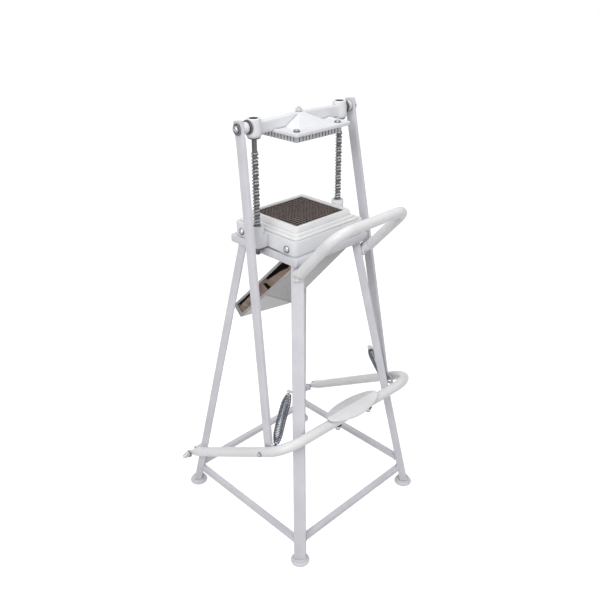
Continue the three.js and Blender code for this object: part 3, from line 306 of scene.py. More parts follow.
def bare_sheet(name, shades):
    """Unpainted sheet of a warm brown-grey, with long rolling lines."""
    m = material(name)
    lines = m.noise(18, 5, 0.6, (1, 0.5, 9))
    tone = m.ramp(lines, list(zip((0.3, 0.55, 0.75), shades)))
    m.set(Base_Color=tone, Metallic=0.45, Roughness=m.remap(m.noise(70, 4), 0.3, 0.5))
    m.bump(lines, 0.05, 0.0003)
    return m.owner


paint = powder_coat("powder_coat", (226, 225, 231), (215, 214, 221))
# Reach and depth of the painted shade in the creases of the casting and the holder.
CREASES = (0.006, 0.9)
cast_paint = powder_coat("cast_powder_coat", (238, 239, 242), (229, 230, 234), 0.22, (0.4, 0.55), CREASES)
holder_paint = powder_coat("holder_coat", (246, 246, 246), (238, 238, 240), 0.2, (0.34, 0.5), CREASES)
bright = powder_coat("bright_coat", (238, 238, 239), (229, 229, 231), 0.06, (0.28, 0.4))
# The chute's white paint made grey: painted shade for its underside.
chute_shade_paint = powder_coat("chute_shade_coat", (190, 188, 189), (176, 174, 176), 0.08)
rim_paint = powder_coat("chute_rim_coat", (226, 224, 225), (212, 210, 212), 0.08)
steel = plain_steel("machined_steel", (176, 176, 178), (140, 140, 143))
# The rods' own dark grey, kept darker also as painted shade between the coils of the springs round them.
rod_steel = plain_steel("rod_steel", (124, 123, 122), (98, 97, 97), (0.36, 0.5), (1, 1, 40), 0.35)
finger_metal = finger_steel()
chrome = plated("plated_fasteners", (236, 237, 240), (206, 208, 213), (58, 58, 62))
washer_zinc = plated("washer_zinc", (178, 179, 183), (142, 143, 148), (66, 66, 70))
# Dark zinc, real on the spring straps; on the head's spacers it also paints the shade between boss and bar,
# and on the boss feet it is painted shade.
dark_zinc_and_shade = plain_steel("dark_zinc_and_shade", (120, 120, 122), (84, 84, 87), (0.3, 0.5), (1, 1, 1), 0.7, 80)
# The bushes' metal, darkened as painted shade in the bores of the head's bosses.
bush_shade_metal = plain_steel("bush_shade_metal", (84, 83, 82), (58, 57, 57), (0.4, 0.6), (1, 1, 1), 0.5, 80)
wire = plated("spring_wire", (214, 216, 218), (192, 195, 198), (122, 124, 127), 0.5)
dark_wire = plated("dark_spring_wire", (182, 186, 194), (140, 146, 156), (78, 82, 91), 0.7)
knives = knife_steel()
# A darker copy of the bright coat: painted shade and a darker reflection on the foot plate's rear slope.
tread_shade_paint = powder_coat("tread_shade_coat", (232, 232, 234), (208, 208, 211), 0.2, (0.26, 0.4))
bare = bare_sheet("bare_sheet", ((104, 88, 76), (132, 114, 100), (158, 142, 128)))
shade_black = painted_shade()

# Each slot's materials. The first is that of the solids.
by_slot = {
    "powder_coat": (paint, cast_paint, holder_paint, rim_paint), "bright_coat": (bright,),
    "machined_steel": (steel, rod_steel, shade_black), "plated_fasteners": (chrome, washer_zinc, dark_zinc_and_shade),
    "spring_wire": (wire, dark_wire), "knife_steel": (knives,), "bare_sheet": (bare,),
}
by_node = {
    "casting": cast_paint, "pusher": finger_metal, "chute": chute_shade_paint,
    "bush_left": bush_shade_metal, "bush_right": bush_shade_metal,
}


# Modifiers
BEVEL_ANGLE, FLAT_ANGLE = math.radians(40), math.radians(0.6)


def soften(obj, width, segments=2, flat=True):
    """Rounds an object's edges by modifiers, which leave its mesh as it is."""
    for polygon in obj.data.polygons:
        polygon.use_smooth = True
    if flat:
        weld = obj.modifiers.new("weld", "WELD")
        weld.merge_threshold = 0.00001
        plain = obj.modifiers.new("flat", "DECIMATE")
        plain.decimate_type = "DISSOLVE"
        plain.angle_limit = FLAT_ANGLE
    bevel = obj.modifiers.new("bevel", "BEVEL")
    bevel.limit_method = "ANGLE"
    bevel.angle_limit = BEVEL_ANGLE
    bevel.width = width * MM
    bevel.segments = segments
    bevel.harden_normals = True
    bevel.use_clamp_overlap = True


# Forms
def circle(centre, x, y, count, wide, tall=None, power=2.0):
    """Points round an ellipse, or round a box with soft corners for a power above 2."""
    tall = wide if tall is None else tall
    points = []
    for k in range(count):
        turn = 2 * math.pi * k / count
        cosine, sine = math.cos(turn), math.sin(turn)
        size = (abs(cosine) ** power + abs(sine) ** power) ** (-1 / power)
        points.append(centre + x * (wide * size * cosine) + y * (tall * size * sine))
    return points


def soft_square(half_x, half_y, corner, z, steps=6):
    """Points round a level rectangle with rounded corners."""
    points = []
    for sx, sy, start in ((1, 1, 0), (-1, 1, 90), (-1, -1, 180), (1, -1, 270)):
        for k in range(steps + 1):
            turn = math.radians(start + 90 * k / steps)
            x = sx * (half_x - corner) + corner * math.cos(turn)
            points.append(Vector((x, sy * (half_y - corner) + corner * math.sin(turn), z)))
    return points


def eased(share):
    """A share between 0 and 1, which starts and ends gently."""
    share = min(max(share, 0), 1)
    return share * share * (3 - 2 * share)


def square_to(direction, side=None):
    """Two directions square to a third, the first as near to side as can be."""
    z = direction.normalized()
    side = side or (UP if abs(z.z) < 0.9 else BACK)
    x = (side - z * side.dot(z)).normalized()
    return x, z.cross(x)


HEXAGON_STEPS = 36
CHAMFER_SHARE, CHAMFER_ANGLE = 0.93, math.radians(28)
DOME_STEPS = 9
SMOOTH_ANGLE = math.radians(38)


class Form:
    """Closed lofts, gathered in millimetres and made into one object."""

    def __init__(self):
        self.points = []
        self.faces = []

    def loft(self, loops, closed=False):
        """Joins rings of points, or single points at a tip. It closes the ends, or joins last to first."""
        rows = []
        for loop in loops:
            rows.append(range(len(self.points), len(self.points) + len(loop)))
            self.points.extend(loop)
        pairs = list(zip(rows, rows[1:])) + ([(rows[-1], rows[0])] if closed else [])
        for low, high in pairs:
            for k in range(max(len(low), len(high))):
                lower = (low[k % len(low)], low[(k + 1) % len(low)])
                upper = (high[(k + 1) % len(high)], high[k % len(high)])
                self.faces.append(list(dict.fromkeys(lower + upper)))
        if not closed:
            self.faces += [list(row) for row in (rows[0], rows[-1]) if len(row) > 2]
        return self

    def lathe(self, profile, seat, direction, count=40, closed=False):
        """Turns a profile of distances along the axis and radii about it."""
        z = direction.normalized()
        x, y = square_to(z)
        loops = []
        for along, radius in profile:
            centre = seat + z * along
            loops.append(circle(centre, x, y, count, radius) if radius else [centre])
        return self.loft(loops, closed)

    def rod(self, seat, direction, radius, length):
        """A plain round piece, such as a shank or a washer."""
        return self.lathe([(0, 0), (0, radius), (length, radius), (length, 0)], seat, direction)

    def hexagon(self, seat, direction, corner, height, side=None):
        """A hexagon head or nut whose corners are cut by a cone at both ends."""
        z = direction.normalized()
        x, y = square_to(z, side)
        flat = corner * math.cos(math.pi / 6)
        inner = flat * CHAMFER_SHARE

        def ring(base, sign):
            points = []
            for k in range(HEXAGON_STEPS):
                turn = 2 * math.pi * k / HEXAGON_STEPS
                radius = flat / math.cos((turn + math.pi / 6) % (math.pi / 3) - math.pi / 6)
                drop = (radius - inner) * math.tan(CHAMFER_ANGLE)
                outward = x * math.cos(turn) + y * math.sin(turn)
                points.append(seat + z * (base + sign * drop) + outward * radius)
            return points

        lower = circle(seat, x, y, HEXAGON_STEPS, inner)
        upper = circle(seat + z * height, x, y, HEXAGON_STEPS, inner)
        return self.loft([lower, ring(0, 1), ring(height, -1), upper])

    def dome(self, seat, direction, radius, height):
        """The round cap of a domed nut or bolt head."""
        turns = [math.pi / 2 * i / DOME_STEPS for i in range(1, DOME_STEPS)]
        cap = [(height * math.sin(t), radius * math.cos(t)) for t in turns]
        return self.lathe([(0, 0), (0, radius)] + cap + [(height, 0)], seat, direction, 36)

    def sweep(self, points, radius, count=10, side=None, squeeze=None):
        """A round wire or tube along points. squeeze(i) gives its two half widths at a point."""
        last = len(points) - 1
        side = (side or square_to(points[1] - points[0])[0]).copy()
        loops = []
        for i, point in enumerate(points):
            into = (point - points[max(i - 1, 0)]).normalized()
            out = (points[min(i + 1, last)] - point).normalized()
            ahead = (into + out).normalized()
            side = (side - ahead * side.dot(ahead)).normalized()
            wide, tall = squeeze(i) if squeeze else (radius, radius)
            loops.append(circle(point, side, ahead.cross(side), count, wide, tall))
        return self.loft(loops)

    def made(self, name, material, body, replaces=(), bevel=0, slot=None, segments=2):
        """The object itself, which rides on its body and stands for the given nodes."""
        mesh = bpy.data.meshes.new(name)
        mesh.from_pydata([at(point) for point in self.points], [], self.faces)
        obj = added(name, mesh)
        form = bmesh.new()
        form.from_mesh(mesh)
        bmesh.ops.remove_doubles(form, verts=form.verts, dist=0.000001)
        bmesh.ops.recalc_face_normals(form, faces=form.faces)
        form.to_mesh(mesh)
        form.free()
        mesh.materials.append(material)
        if bevel:
            soften(obj, bevel, segments, flat=False)
        else:
            mesh.shade_smooth()
            mesh.set_sharp_from_angle(angle=SMOOTH_ANGLE)
        if body:
            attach(obj, body)
        if replaces:
            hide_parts(*replaces)
        return obj


def bent_path(corners, radii, steps=18, stretch=6):
    """Straight runs with an arc at each inner corner."""
    path = [corners[0]]
    for before, corner, after, radius in zip(corners, corners[1:], corners[2:], radii):
        back = (before - corner).normalized()
        ahead = (after - corner).normalized()
        half = back.angle(ahead) / 2
        centre = corner + (back + ahead).normalized() * (radius / math.sin(half))
        start = corner + back * (radius / math.tan(half)) - centre
        end = corner + ahead * (radius / math.tan(half)) - centre
        turn = math.pi - 2 * half
        arc = []
        for i in range(steps + 1):
            one, two = math.sin((1 - i / steps) * turn), math.sin(i / steps * turn)
            arc.append(centre + (start * one + end * two) / math.sin(turn))
        path += [path[-1].lerp(arc[0], i / stretch) for i in range(1, stretch)] + arc
    return path + [path[-1].lerp(corners[-1], i / stretch) for i in range(1, stretch + 1)]


def curve_between(points, steps=8):
    """A smooth line through points."""
    line = []
    padded = [points[0] * 2 - points[1]] + points + [points[-1] * 2 - points[-2]]
    for a, b, c, d in zip(padded, padded[1:], padded[2:], padded[3:]):
        square, cube = 2 * a - 5 * b + 4 * c - d, 3 * b - a - 3 * c + d
        for i in range(steps):
            t = i / steps
            line.append(0.5 * (2 * b + (c - a) * t + square * t * t + cube * t ** 3))
    return line + [points[-1]]


# Fasteners: a pair is the radius and length of a round part, or the corner radius and height of a hexagon.
# The cap of a large domed nut has its own seat.
CAP_SEAT = 9


# Pedal: the tube, laid out in its own plane from the pins, with ends pressed flat towards the pins
PEDAL_HALF, PEDAL_RADIUS = 235, 12.4
PEDAL_BENDS = (65, 95)
PEDAL_ANGLE = math.radians(30)
PEDAL_TAIL, LINK_REACH = 17, 352
LEFT_LEAD, RIGHT_LEAD = 80, 122
PINCH_LENGTH, PINCH_WIDTH, PINCH_HEIGHT = 58, 0.4, 0.62
TIP_LENGTH, TIP_SHARE = 5, 0.7
ARM_STEPS = 12
PIVOT = middle_of("pedal_pin_right")


def on_pedal(across, along):
    """A point of the pedal's plane, by its place across the machine and its distance from the pins."""
    back, rise = along * math.cos(PEDAL_ANGLE), along * math.sin(PEDAL_ANGLE)
    return Vector((across, PIVOT.y - back, PIVOT.z + rise))


BAR_LEFT = on_pedal(-PEDAL_HALF, LINK_REACH + LEFT_LEAD)
BAR_RIGHT = on_pedal(PEDAL_HALF, LINK_REACH + RIGHT_LEAD)


def add_pedal():
    tails = [on_pedal(sx * PEDAL_HALF, -PEDAL_TAIL) for sx in (-1, 1)]
    path = bent_path([tails[0], BAR_LEFT, BAR_RIGHT, tails[1]], PEDAL_BENDS)
    fine = [path[0].lerp(path[1], i / ARM_STEPS) for i in range(ARM_STEPS)]
    fine += path[1:-2] + [path[-2].lerp(path[-1], i / ARM_STEPS) for i in range(ARM_STEPS + 1)]

    def squeeze(i):
        nearest = min((fine[i] - tail).length for tail in tails)
        flat = eased(nearest / PINCH_LENGTH)
        tip = TIP_SHARE + (1 - TIP_SHARE) * math.sin(min(nearest / TIP_LENGTH, 1) * math.pi / 2)
        wide, tall = (pinch + (1 - pinch) * flat for pinch in (PINCH_WIDTH, PINCH_HEIGHT))
        return PEDAL_RADIUS * wide * tip, PEDAL_RADIUS * tall * tip

    form = Form().sweep(fine, PEDAL_RADIUS, 32, UP, squeeze)
    form.made("pedal_tube", bright, "pedal", ["pedal"], 1.2, segments=3)


# Foot plate: a domed leaf with a rolled edge, on a saddle over the front bar
TREAD_HALF, TREAD_SHIFT = 81.6, 13
TREAD_REAR, TREAD_FRONT = 36, 27
TREAD_THICKNESS, TREAD_CROWN = 2.4, 5
TREAD_EDGE, TREAD_EDGE_DROP = 4, 1.6
TREAD_RIDGE, RIDGE_PLACE, RIDGE_WIDTH = 1.8, 4, 3.2
TREAD_DROOP = 0.012
TREAD_SHADE_FROM = 3
TREAD_STEPS, TREAD_RIBS = 64, 20
TREAD_BOLT = 52
SADDLE_GAP, BAR_GAP = 0.4, 0.6
TREAD_WASHER, TREAD_NUT, TREAD_CAP, TREAD_SHANK = (9.6, -1.8), (8.4, 7.4), (6.9, 7), 4
BAR_ALONG = (BAR_RIGHT - BAR_LEFT).normalized()
TREAD_UP = (UP - BAR_ALONG * BAR_ALONG.z).normalized()
TREAD_ACROSS = TREAD_UP.cross(BAR_ALONG)
TREAD_MIDDLE = BAR_LEFT.lerp(BAR_RIGHT, 0.5) - BAR_ALONG * TREAD_SHIFT


def on_tread(along, across, up):
    """A point over the front bar, in the foot plate's own directions."""
    rise = PEDAL_RADIUS + SADDLE_GAP + up
    return TREAD_MIDDLE + BAR_ALONG * along + TREAD_ACROSS * across + TREAD_UP * rise


def tread_height(across, edge):
    """The leaf's height, from the place across it and the distance to its edge."""
    dome = TREAD_CROWN * (1 - (across / TREAD_REAR) ** 2) - TREAD_DROOP * min(across, 0) ** 2
    roll = TREAD_EDGE_DROP * max(0.0, 1 - edge / TREAD_EDGE) ** 2
    return dome + TREAD_RIDGE * math.exp(-((across - RIDGE_PLACE) / RIDGE_WIDTH) ** 2) - roll


def tread_leaf():
    """The leaf from tip to tip, as sections that grow and shrink across it."""
    loops = []
    for i in range(TREAD_STEPS + 1):
        u = math.sin(math.pi * (i / TREAD_STEPS - 0.5))
        width = (1 - 0.6 * u * u) * max(0.0, 1 - abs(u) ** 16) ** 0.5
        along = TREAD_HALF * u
        if width < 0.02:
            loops.append([on_tread(along, 0, TREAD_CROWN + 1)])
            continue
        rear, front = TREAD_REAR * width, -TREAD_FRONT * width
        top, bottom = [], []
        for k in range(TREAD_RIBS + 1):
            across = rear + (front - rear) * k / TREAD_RIBS
            edge = min(rear - across, across - front, TREAD_HALF - abs(along))
            height = tread_height(across, edge)
            top.append(on_tread(along, across, height + TREAD_THICKNESS))
            bottom.append(on_tread(along, across, height))
        loops.append(top + bottom[::-1])
    return Form().loft(loops)


def add_foot_plate():
    plate = tread_leaf().made("foot_plate_leaf", bright, "pedal", ["foot_plate"], 0.5)
    # The rear slope's upper faces take the darker coat as painted shade and reflection.
    plate.data.materials.append(tread_shade_paint)
    for polygon in plate.data.polygons:
        across = (polygon.center - at(TREAD_MIDDLE)).dot(TREAD_ACROSS) / MM
        polygon.material_index = int(across > TREAD_SHADE_FROM and polygon.normal.dot(TREAD_UP) > 0)
    loops = []
    for along in (-TREAD_BOLT - 9, -TREAD_BOLT - 6, TREAD_BOLT + 6, TREAD_BOLT + 9):
        half = 8 if abs(along) > TREAD_BOLT + 7 else 9
        places = (half, half / 2, 0, -half / 2, -half)
        low = [on_tread(along, across, -2 - 0.03 * across * across) for across in places]
        high = [on_tread(along, across, TREAD_CROWN - 0.5) for across in (-half, 0, half)]
        loops.append(low + high)
    Form().loft(loops).made("foot_plate_saddle", paint, "pedal", (), 0.5, "bright_coat")
    down = -TREAD_UP
    for side, sx in SIDES:
        seat = on_tread(sx * TREAD_BOLT, 0, 0) + down * (2 * PEDAL_RADIUS + BAR_GAP)
        Form().rod(seat, TREAD_UP, *TREAD_WASHER).made(f"foot_plate_washer_{side}", washer_zinc, "pedal")
        bolt = Form().hexagon(seat + TREAD_UP * TREAD_WASHER[1], down, *TREAD_NUT, BAR_ALONG)
        bolt.dome(seat + down * CAP_SEAT, down, *TREAD_CAP)
        bolt.rod(seat, TREAD_UP, TREAD_SHANK, 2 * PEDAL_RADIUS + 4)
        bolt.made(f"foot_plate_fixing_{side}", chrome, "pedal", [f"foot_plate_bolt_{side}"], 0.25)


# Bosses of the pedal's pins, and the bolts that hold the pull bars' lower ends
BOSS_RADIUS, BOSS_RIM = 9.4, 11.4
STRAP_X = 208.25
STRAP_PLACES = ((-5.5, 2.5), (-4, 4.6), (0, 6), (5, 5.4), (12, 4.6), (16, 4.4), (18, 3))
STRAP_THICKNESS = 3.5
LOWER_WASHER, LOWER_HEAD, LOWER_SHANK = (6.4, 1.1), (5.6, 4.2), 3.9
LOWER_NUT, INNER_WASHER, INNER_WASHER_SEAT = (6.5, 4.4), (8, 1.5), 6.2
HOOK_RADIUS, HOOK_PLACES = 3.1, (5, 2, -1, -5)
HOOK_NUT = ((0, 0), (0, 5.4), (3.6, 5.8), (5, 4.4), (5, 0))


def add_pedal_lug(side, sx):
    node = f"pedal_lug_{side}"
    inner, outer = ends_across(node)
    length = abs(outer - inner)
    rim = ((length - 2.4, BOSS_RIM), (length - 0.5, BOSS_RIM), (length, BOSS_RIM - 0.8))
    profile = [(0, 0), (0, BOSS_RADIUS), (length - 3, BOSS_RADIUS), *rim, (length, 0)]
    boss = Form().lathe(profile, at_side(PIVOT, inner), RIGHT * sx)
    boss.made(f"pedal_boss_{side}", paint, "stand", [node])


def add_pedal_bolt(side, sx):
    """The bolt through pedal, pull bar and strap, and the strap with the spring's hook."""
    out = RIGHT * sx
    outer = on_pedal(sx * (PEDAL_HALF + PEDAL_RADIUS + 0.3), LINK_REACH)
    inner = on_pedal(sx * STRAP_X, LINK_REACH)
    bolt = Form().rod(outer, out, *LOWER_WASHER).hexagon(outer + out * LOWER_WASHER[1], out, *LOWER_HEAD)
    bolt.rod(inner, out, LOWER_SHANK, abs(outer.x - inner.x))
    bolt.hexagon(inner + out * STRAP_THICKNESS / 2, out, *LOWER_NUT)
    bolt.rod(inner + out * INNER_WASHER_SEAT, out, *INNER_WASHER)
    bolt.made(f"link_lower_bolt_{side}", wire, "pedal", [f"pedal_bolt_{side}"], 0.25, "plated_fasteners")
    along = (on_pedal(0, 1) - on_pedal(0, 0)).normalized()
    across = out.cross(along)
    loops = []
    for place, half in STRAP_PLACES:
        loops.append(circle(inner + along * place, across, out, 16, half, STRAP_THICKNESS / 2, 6))
    strap = Form().loft(loops)
    _, eye, run = spring_ends(sx)
    strap.sweep([eye + run * place for place in HOOK_PLACES], HOOK_RADIUS, 14).lathe(HOOK_NUT, eye, run)
    strap.made(f"spring_strap_{side}", dark_zinc_and_shade, "pedal", (), 0.3)


# Springs: closed coils round the rods, and tapered coils between leg and pedal
SPRING_TOP = Vector((148.05, -114.0, 433.0))
SPRING_EYE = Vector((206.48, -126.55, 314.97))
COIL_WIDTH, COIL_HEIGHT, COIL_RADIUS = 1.9, 4.2, 6.85
COIL_CURLS, COIL_DEAD = 25, 1.25
COIL_STEPS = 26
DEAD_PITCH = 1.04
PEDAL_WIRE, PEDAL_COIL_RADIUS, PEDAL_END_RADIUS = 2.7, 10.8, 5.6
PEDAL_CURLS, PEDAL_TAPER = 31, 7
PEDAL_COIL_STEPS, PEDAL_COIL_LEAD = 20, 4.5
PEDAL_BOW = 2.5


def spring_ends(sx):
    """A pedal spring's upper end, its lower end and its direction."""
    top, eye = (Vector((sx * end.x, end.y, end.z)) for end in (SPRING_TOP, SPRING_EYE))
    return top, eye, (eye - top).normalized()


def add_rod_spring(side):
    node = f"rod_spring_{side}"
    low, high = corners_of(node)
    axis = middle_of(node)
    length = high.z - low.z - COIL_HEIGHT
    dead = COIL_DEAD * COIL_HEIGHT * DEAD_PITCH
    pitch = (length - 2 * dead) / (COIL_CURLS - 2 * COIL_DEAD)
    half_width, half_height = COIL_WIDTH / 2, COIL_HEIGHT / 2
    points = []
    for i in range(COIL_CURLS * COIL_STEPS + 1):
        turns = i / COIL_STEPS
        lower = min(turns, COIL_DEAD)
        upper = max(turns - (COIL_CURLS - COIL_DEAD), 0)
        rise = (lower + upper) / COIL_DEAD * dead + (turns - lower - upper) * pitch
        turn = 2 * math.pi * turns
        place = Vector((axis.x, axis.y, low.z + half_height + rise))
        points.append(place + Vector((math.cos(turn), math.sin(turn), 0)) * COIL_RADIUS)
    form = Form().sweep(points, 0, 12, UP, lambda i: (half_height, half_width))
    spring = form.made(f"rod_spring_coil_{side}", wire, "stand", [node])
    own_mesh(spring)


def add_pedal_spring(side, sx):
    top, eye, run = spring_ends(sx)
    length = (eye - top).length
    x, y = square_to(run, BACK)
    total = PEDAL_CURLS * PEDAL_COIL_STEPS
    points = [top - run * 3, top + run * 0.5, top + run * 2.5]
    for i in range(total + 1):
        curls = i / PEDAL_COIL_STEPS
        nearest = min(curls, PEDAL_CURLS - curls)
        grown = math.sin(min(nearest / PEDAL_TAPER, 1) * math.pi / 2)
        radius = PEDAL_END_RADIUS + (PEDAL_COIL_RADIUS - PEDAL_END_RADIUS) * grown
        along = PEDAL_COIL_LEAD + (length - 2 * PEDAL_COIL_LEAD) * i / total
        bow = PEDAL_BOW * math.sin(math.pi * i / total)
        turn = 2 * math.pi * curls
        points.append(top + run * along + x * (radius * math.cos(turn) + bow) + y * radius * math.sin(turn))
    points += [eye - run * 2.5, eye - run * 0.5, eye + run * 3]
    form = Form().sweep(points, PEDAL_WIRE / 2, 9, y)
    spring = form.made(f"pedal_spring_coil_{side}", dark_wire, None, [f"pedal_spring_{side}"])
    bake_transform(spring)


# Guide rods with a threaded tail and a nut under the casting
ROD_RADIUS, ROD_TAIL = 5.7, 19
ROD_WASHER, ROD_NUT = (11.2, -1.6), (10, 7.4)
THREAD_PITCH, THREAD_DEPTH, THREAD_START = 1.5, 0.75, 1.2
THREAD_SIDES, THREAD_RINGS = 24, 6


def add_guide_rod(side):
    node = f"guide_rod_{side}"
    low, high = corners_of(node)
    axis = middle_of(node)
    tail_top = low.z + ROD_TAIL
    loops = []
    height = low.z
    while height < tail_top:
        full = ROD_RADIUS * (0.85 + 0.15 * min((height - low.z) / THREAD_START, 1))
        ring = []
        for k in range(THREAD_SIDES):
            turn = k / THREAD_SIDES
            size = full - THREAD_DEPTH * abs(((height / THREAD_PITCH - turn) % 1) * 2 - 1)
            outward = RIGHT * math.cos(2 * math.pi * turn) + BACK * math.sin(2 * math.pi * turn)
            ring.append(at_height(axis, height) + outward * size)
        loops.append(ring)
        height += THREAD_PITCH / THREAD_RINGS
    for z, radius in ((tail_top, ROD_RADIUS), (high.z - 1, ROD_RADIUS), (high.z, ROD_RADIUS - 1)):
        loops.append(circle(at_height(axis, z), RIGHT, BACK, THREAD_SIDES, radius))
    seat = at_height(axis, tail_top - 0.3)
    form = Form().loft(loops).rod(seat, UP, *ROD_WASHER)
    form.hexagon(seat + UP * ROD_WASHER[1], -UP, *ROD_NUT, RIGHT)
    form.made(f"guide_rod_thread_{side}", rod_steel, "stand", [node])


# Feet
FOOT_HEIGHT = 13
FOOT_PROFILE = (
    (0, 0), (0, 22.4), (1.1, 23.5), (3.8, 23.5), (5, 22.2), (5.4, 20.6), (6.4, 19), (8.6, 18.2),
    (FOOT_HEIGHT, 18), (FOOT_HEIGHT, 0),
)


def add_foot(end, side):
    node = f"foot_{end}_{side}"
    seat = at_height(middle_of(node), corners_of(node)[0].z)
    Form().lathe(FOOT_PROFILE, seat, UP, 56).made(f"foot_disc_{end}_{side}", paint, "stand", [node], 0.4)


# Blade holder: rows of half width, half depth, height and corner radius, up the outside and down the opening
HOLDER_HEIGHT = 23.5
HOLDER_SECTION = (
    (105.5, 97.5, 0, 11), (105.5, 97.5, 2.6, 11), (104.5, 96.5, 3.8, 10), (99, 91, 4.1, 9.5),
    (98, 90, 4.9, 9.5), (98, 90, 8, 9.5), (97, 89, 9.3, 8.5), (92, 84.2, 9.6, 8), (91, 83.2, 10.5, 8),
    (91, 83.2, 20.6, 8), (90.3, 82.5, 22.4, 7.3), (88.6, 80.8, HOLDER_HEIGHT, 6),
    (81.4, 75.6, HOLDER_HEIGHT, 2.4), (80.2, 74.4, 23, 1.6), (79.6, 73.8, 21.8, 1.2),
    (79.6, 73.8, 19.2, 1.2), (80.6, 74.8, 19.2, 1.2), (80.6, 74.8, 0, 1.2),
)


def add_blade_holder():
    base = top_of("blade_holder") - HOLDER_HEIGHT
    loops = [soft_square(x, y, corner, base + rise) for x, y, rise, corner in HOLDER_SECTION]
    Form().loft(loops, closed=True).made("blade_holder_frame", holder_paint, "stand", ["blade_holder"])


# Knives: a lattice with bevelled upper edges, in a thin border under the holder's rim
KNIFE_PITCH, KNIVES_ACROSS, KNIVES_DEEP = 10, 15, 14
KNIFE_HALF_X, KNIFE_HALF_Y, KNIFE_RECESS = 80.4, 74.6, 4.4
KNIFE_HALF_WIDTH, KNIFE_EDGE, KNIFE_BEVEL = 0.6, 0.51, 0.4
KNIFE_STEP = 0.15
BORDER_WIDTH, BORDER_CORNER = 1.1, 1.3


def knife(lattice, start, end, bottom, edge):
    """One knife, as a strip on end whose upper edge is narrower."""
    across = (end - start).normalized().cross(UP)
    right = [(KNIFE_HALF_WIDTH, bottom), (KNIFE_HALF_WIDTH, edge - KNIFE_BEVEL), (KNIFE_EDGE, edge)]
    section = right + [(-place, z) for place, z in reversed(right)]
    lattice.loft([[tip + across * place + UP * z for place, z in section] for tip in (start, end)])


def add_knife_lattice():
    bottom = corners_of("knife_grid")[0].z
    middle_y = middle_of("knife_grid").y
    upper = top_of("blade_holder") - KNIFE_RECESS
    lattice = Form()
    for i in range(KNIVES_ACROSS):
        x = (i - (KNIVES_ACROSS - 1) / 2) * KNIFE_PITCH
        front, back = (Vector((x, middle_y + sign * KNIFE_HALF_Y, 0)) for sign in (-1, 1))
        knife(lattice, front, back, bottom, upper)
    for i in range(KNIVES_DEEP):
        y = middle_y + (i - (KNIVES_DEEP - 1) / 2) * KNIFE_PITCH
        left, right = (Vector((sign * KNIFE_HALF_X, y, 0)) for sign in (-1, 1))
        knife(lattice, left, right, bottom, upper - KNIFE_STEP)
    border = []
    for inset, z in ((0, bottom), (0, upper), (BORDER_WIDTH, upper), (BORDER_WIDTH, bottom)):
        ring = soft_square(KNIFE_HALF_X - inset, KNIFE_HALF_Y - inset, BORDER_CORNER - inset / 2, z, 3)
        border.append([point + BACK * middle_y for point in ring])
    lattice.loft(border, closed=True)
    lattice.made("knife_lattice", knives, "stand", ["knife_grid"])


# Crosshead: a flared boss at each end of a beam, with a tray plate and a pyramid under the stud. Plate and
# bosses begin at a depth below its top. Profiles hold distances along an axis and radii, the plate's rows
# insets and heights, and the beam's rows places, half depths, undersides and tops.
PLATE_DEPTH, BOSS_DEPTH = 37, 43
BOSS_PROFILE = (
    (0, 9.6), (0, 12), (0.6, 13), (6.8, 16.9), (8.4, 17.6), (11, 17.9), (18, 17.6), (26, 17), (34, 16.3),
    (40.2, 15.7), (42, 15.2), (42.9, 14.2), (43.1, 13), (42.8, 10.4), (41.6, 9.6),
)
# Painted shade: a dark lining in the bush's mouth, a dark ring on the boss's lower taper and a dark disc on
# the rod's end.
MOUTH_SHADE_PROFILE = ((-0.7, 9.9), (-0.7, 9), (-6, 8.8), (-6, 9.9))
BOSS_FOOT_SHADE = ((-0.2, 9.7), (-0.2, 12.4), (0.5, 13.5), (2.8, 14.9), (2.8, 9.7))
ROD_TOP_SHADE = ((0, 0), (0, 5.6), (0.3, 5.4), (0.3, 0))
HUB_PROFILE = ((10.5, 0), (10.5, 11), (20.6, 11), (21.4, 11.8), (34.2, 11.4), (35.4, 10.4), (35.4, 0))
HUB_WASHER = ((15.6, 0), (15.6, 14.8), (16.4, 15.6), (18.8, 15.6), (19.6, 14.8), (19.6, 0))
PLATE_HALF_X, PLATE_HALF_Y, PLATE_CORNER = 86, 82, 9
PLATE_SECTION = (
    (1.6, 0), (0.4, 0.6), (0, 1.8), (0, 6.4), (0.6, 7.5), (1.8, 8), (4.6, 8), (6, 7.6), (6.8, 6.6),
    (7.8, 6.1), (9, 6),
)
PYRAMID_SECTION = ((54, 5.9), (51, 6.4), (49, 7.4), (47.4, 9), (9.8, 29.8), (8.8, 30.7), (7.6, 31))
BEAM_SECTIONS = (
    (0, 10, 3, 31), (9, 10, 3, 31), (60, 10, 3, 29.2), (100, 10, 3, 28), (111, 10.2, 3, 28),
    (117, 11, 2.6, 28.2), (122, 12.4, 2, 28.8), (127, 14.4, 1, 29.6),
)


def add_crosshead():
    top = top_of("crosshead")
    base = top - PLATE_DEPTH
    head = Form()
    loops = []
    for inset, rise in PLATE_SECTION:
        corner = max(PLATE_CORNER - inset, 1.5)
        loops.append(soft_square(PLATE_HALF_X - inset, PLATE_HALF_Y - inset, corner, base + rise))
    head.loft(loops)
    head.loft([soft_square(half, half, 1.2, base + rise, 3) for half, rise in PYRAMID_SECTION])
    mirrored = [(-x, *rest) for x, *rest in BEAM_SECTIONS[:0:-1]] + list(BEAM_SECTIONS)
    loops = []
    for x, half, under, over in mirrored:
        centre = Vector((x, 0, base + (under + over) / 2))
        loops.append(circle(centre, BACK, UP, 32, half, (over - under) / 2, 9))
    head.loft(loops)
    for side, sx in SIDES:
        bush = middle_of(f"bush_{side}")
        head.lathe(BOSS_PROFILE, at_height(bush, top - BOSS_DEPTH), UP, 48, closed=True)
        head.lathe(HUB_PROFILE, at_side(middle_of(f"link_bolt_{side}"), bush.x), RIGHT * sx)
    head.made("crosshead_casting", cast_paint, "crosshead", ["crosshead"])


